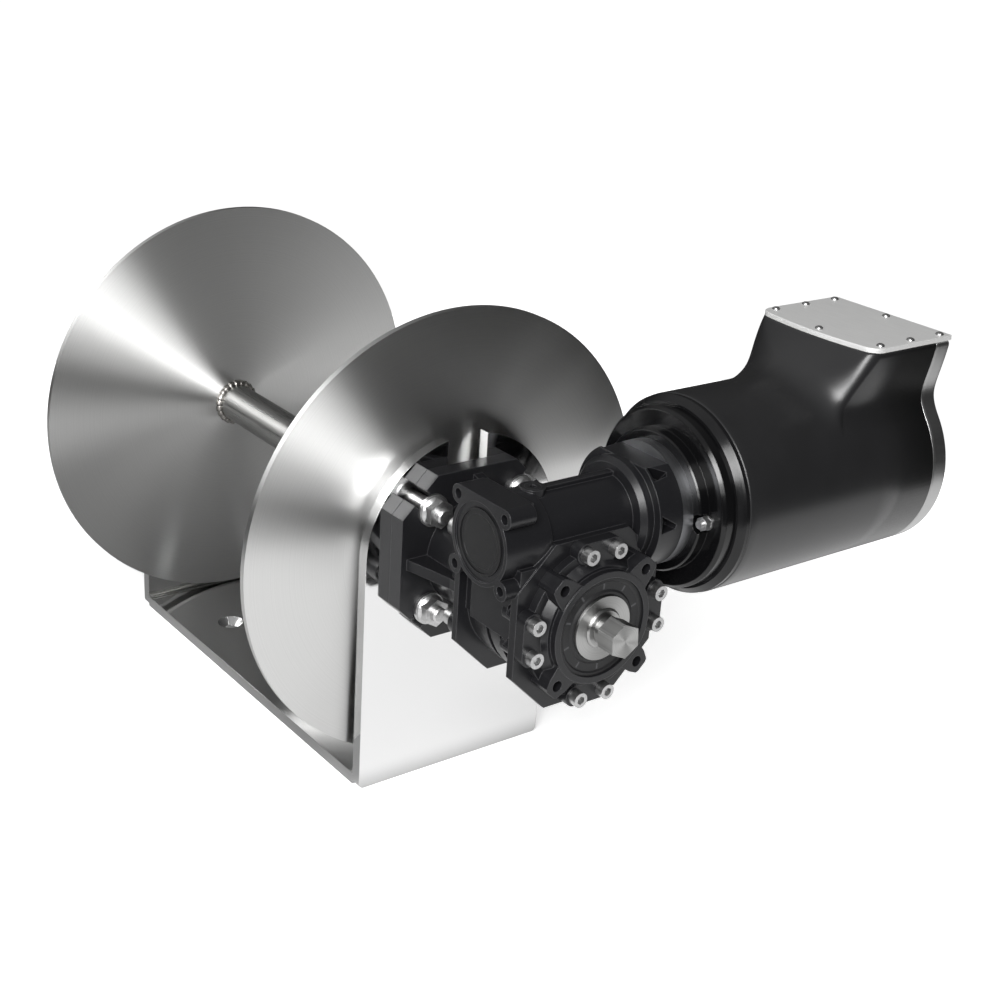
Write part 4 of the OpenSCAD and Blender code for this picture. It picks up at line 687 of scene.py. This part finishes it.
# Brush holder: phenolic board, pressed from resin and cloth and punched to shape. Its brown skin
# shows the run of the fibres.
phenolic, tree, shader = finish("phenolic_board", Metallic=0.0, IOR=1.6, Roughness=0.45)
fibre_mm, fibre_stretch = 1, (1, 8, 1)
fibres = add(tree, "TexNoise", {}, {
    "Vector": millimetres(tree, fibre_stretch), "Scale": 1 / fibre_mm, "Detail": 4.0})
vary(tree, shader, fibres.outputs["Fac"], ("#6A3A1C", "#8E5A30"))
wear(phenolic, "brush_holder")

# Motor brushes: carbon and copper powder, pressed into blocks. They are dark and dull, with
# slightly paler flakes.
carbon, tree, shader = finish("pressed_carbon", Metallic=0.0, IOR=1.6, Roughness=0.5)
flake_mm = 1
flakes = add(tree, "TexNoise", {}, {
    "Vector": millimetres(tree), "Scale": 1 / flake_mm, "Detail": 4.0})
vary(tree, shader, flakes.outputs["Fac"], ("#262628", "#3C3C3F"))
wear(carbon, "motor_brushes")

# Bush of the idle bearing: white acetal bar, turned and pressed in. Light goes a little way into
# it, so it has a waxy sheen.
acetal, tree, shader = finish(
    "turned_acetal", Metallic=0.0, IOR=1.48, Subsurface_Weight=0.1, Roughness=0.36)
wax_mm = 4
wax = add(tree, "TexNoise", {}, {
    "Vector": millimetres(tree), "Scale": 1 / wax_mm, "Detail": 2.0})
vary(tree, shader, wax.outputs["Fac"], ("#E2DFD6", "#F0EEE8"))
wear(acetal, "idle_bush")

# Floor: one pale matt sheet on a table, which the winch stands on. To the eye it glows, more so
# away from the winch, and runs on into the white backdrop. What the metal mirrors is a grey copy
# of it, a painted shade, which glows only in front of the winch as a painted pool of light, and
# ends at the edge of the table.
pale_floor, tree, shader = finish(
    "pale_matt_floor", Metallic=0.0, Specular_IOR_Level=0.2, Roughness=0.9,
    Emission_Color=linear("#FFFFFF"))
cloud_mm, floor_half, floor_squares = 200, 0.75, 8
clouds = add(tree, "TexNoise", {}, {
    "Vector": millimetres(tree), "Scale": 1 / cloud_mm, "Detail": 1.0})
pale = add(tree, "MixRGB", {}, {
    "Fac": clouds.outputs["Fac"], "Color1": linear("#F8F8F8"), "Color2": linear("#FCFCFC")})
seen = add(tree, "LightPath", {}, {})
# Painted shade: what the metal mirrors is a grey copy of the sheet
camera_pale_mirror_shade = add(tree, "MixRGB", {}, {
    "Fac": seen.outputs["Is Camera Ray"], "Color1": linear("#9A9A9A"),
    "Color2": pale.outputs["Color"]})
# Ranges are in metres: from the middle of the floor, and along Y towards the front
place = add(tree, "TexCoord", {}, {})
away = add(tree, "VectorMath", {"operation": "LENGTH"}, {0: place.outputs["Object"]})
fade = add(tree, "MapRange", {"interpolation_type": "SMOOTHSTEP"}, {
    "Value": away.outputs["Value"], "From Min": 0.15, "From Max": 0.6,
    "To Min": 0.5, "To Max": 1.0})
parts = add(tree, "SeparateXYZ", {}, {0: place.outputs["Object"]})
# Painted pool of light: for what the metal mirrors, the sheet glows only in front of the winch
front = add(tree, "MapRange", {"interpolation_type": "SMOOTHSTEP"}, {
    "Value": parts.outputs["Y"], "From Min": -0.14, "From Max": -0.18,
    "To Min": 0.0, "To Max": 0.8})
glow = add(tree, "MixRGB", {}, {
    "Fac": seen.outputs["Is Camera Ray"], "Color1": front.outputs["Result"],
    "Color2": fade.outputs["Result"]})
feed(tree, shader, {
    "Base Color": camera_pale_mirror_shade.outputs["Color"], "Emission Strength": glow.outputs["Color"]})
sheet = bmesh.new()
bmesh.ops.create_grid(sheet, x_segments=floor_squares, y_segments=floor_squares, size=floor_half)
floor_data = bpy.data.meshes.new("floor")
sheet.to_mesh(floor_data)
sheet.free()
floor = bpy.data.objects.new("floor", floor_data)
floor_data.materials.append(pale_floor)
bpy.context.scene.collection.objects.link(floor)

# Room: a white backdrop that only the eye sees, a ceiling that is paler to the left and behind,
# and dark walls. One strong softbox hangs at the upper left in front, and a weak one lower at the
# left widens the rays on the discs.
world = bpy.data.worlds.new("studio")
bpy.context.scene.world = world
world.use_nodes = True
tree = world.node_tree
tree.nodes.clear()
white, wall_glow, backdrop_glow = linear("#FFFFFF"), 0.04, 1.05
# Each range is a part of the direction in which the room is looked at
way = add(tree, "TexCoord", {}, {})
parts = add(tree, "SeparateXYZ", {}, {0: way.outputs["Generated"]})
behind = add(tree, "MapRange", {"interpolation_type": "SMOOTHSTEP"}, {
    "Value": parts.outputs["Y"], "From Min": -0.1, "From Max": 0.4,
    "To Min": 0.34, "To Max": 0.5})
left = add(tree, "MapRange", {"interpolation_type": "SMOOTHSTEP"}, {
    "Value": parts.outputs["X"], "From Min": 0.6, "From Max": -0.3,
    "To Min": 0.15, "To Max": 1.0})
above = add(tree, "MapRange", {"interpolation_type": "SMOOTHSTEP"}, {
    "Value": parts.outputs["Z"], "From Min": 0.15, "From Max": 0.75,
    "To Min": 0.02, "To Max": 1.1})
ceiling = add(tree, "Math", {"operation": "MULTIPLY"}, {
    0: above.outputs["Result"], 1: left.outputs["Result"]})
lit = add(tree, "Math", {"operation": "MULTIPLY_ADD"}, {
    0: ceiling.outputs["Value"], 1: behind.outputs["Result"], 2: wall_glow})
room = add(tree, "Background", {}, {"Color": white, "Strength": lit.outputs["Value"]})
backdrop = add(tree, "Background", {}, {"Color": white, "Strength": backdrop_glow})
seen = add(tree, "LightPath", {}, {})
both = add(tree, "MixShader", {}, {
    0: seen.outputs["Is Camera Ray"], 1: room.outputs[0], 2: backdrop.outputs[0]})
add(tree, "OutputWorld", {}, {"Surface": both.outputs[0]})


def softbox(name, place, aim, side, watts):
    """A square diffused lamp at a place, turned to a point."""
    data = bpy.data.lights.new(name, "AREA")
    data.shape = "SQUARE"
    data.size, data.energy = side, watts
    light = bpy.data.objects.new(name, data)
    bpy.context.scene.collection.objects.link(light)
    light.location = place
    light.rotation_euler = (Vector(aim) - Vector(place)).to_track_quat("-Z", "Y").to_euler()


softbox("key_softbox", (-0.98, -1.25, 1.2), spool_axis, 0.9, 32)
softbox("left_softbox", (-1.42, -1.05, 0.88), spool_axis, 0.9, 16)

# Camera: on a stand at the left in front, at the photograph's angle and with its small roll. The
# place is in metres, and the lens and film in millimetres.
turn, lift, roll = math.radians(-38.23), math.radians(22.47), math.radians(3.77)
stand, lens_mm, film_mm = (-0.56776, -0.91363, 0.58110), 58.67, 36
back = Vector((
    math.sin(turn) * math.cos(lift), -math.cos(turn) * math.cos(lift), math.sin(lift)))
level = Vector((math.cos(turn), math.sin(turn), 0))
up = back.cross(level)
across = math.cos(roll) * level + math.sin(roll) * up
upward = -math.sin(roll) * level + math.cos(roll) * up
camera_data = bpy.data.cameras.new("camera")
camera_data.lens, camera_data.sensor_width = lens_mm, film_mm
camera = bpy.data.objects.new("camera", camera_data)
bpy.context.scene.collection.objects.link(camera)
camera.matrix_world = Matrix((
    (across.x, upward.x, back.x, stand[0]), (across.y, upward.y, back.y, stand[1]),
    (across.z, upward.z, back.z, stand[2]), (0, 0, 0, 1)))
bpy.context.scene.camera = camera
bpy.context.scene.view_settings.view_transform = "Standard"
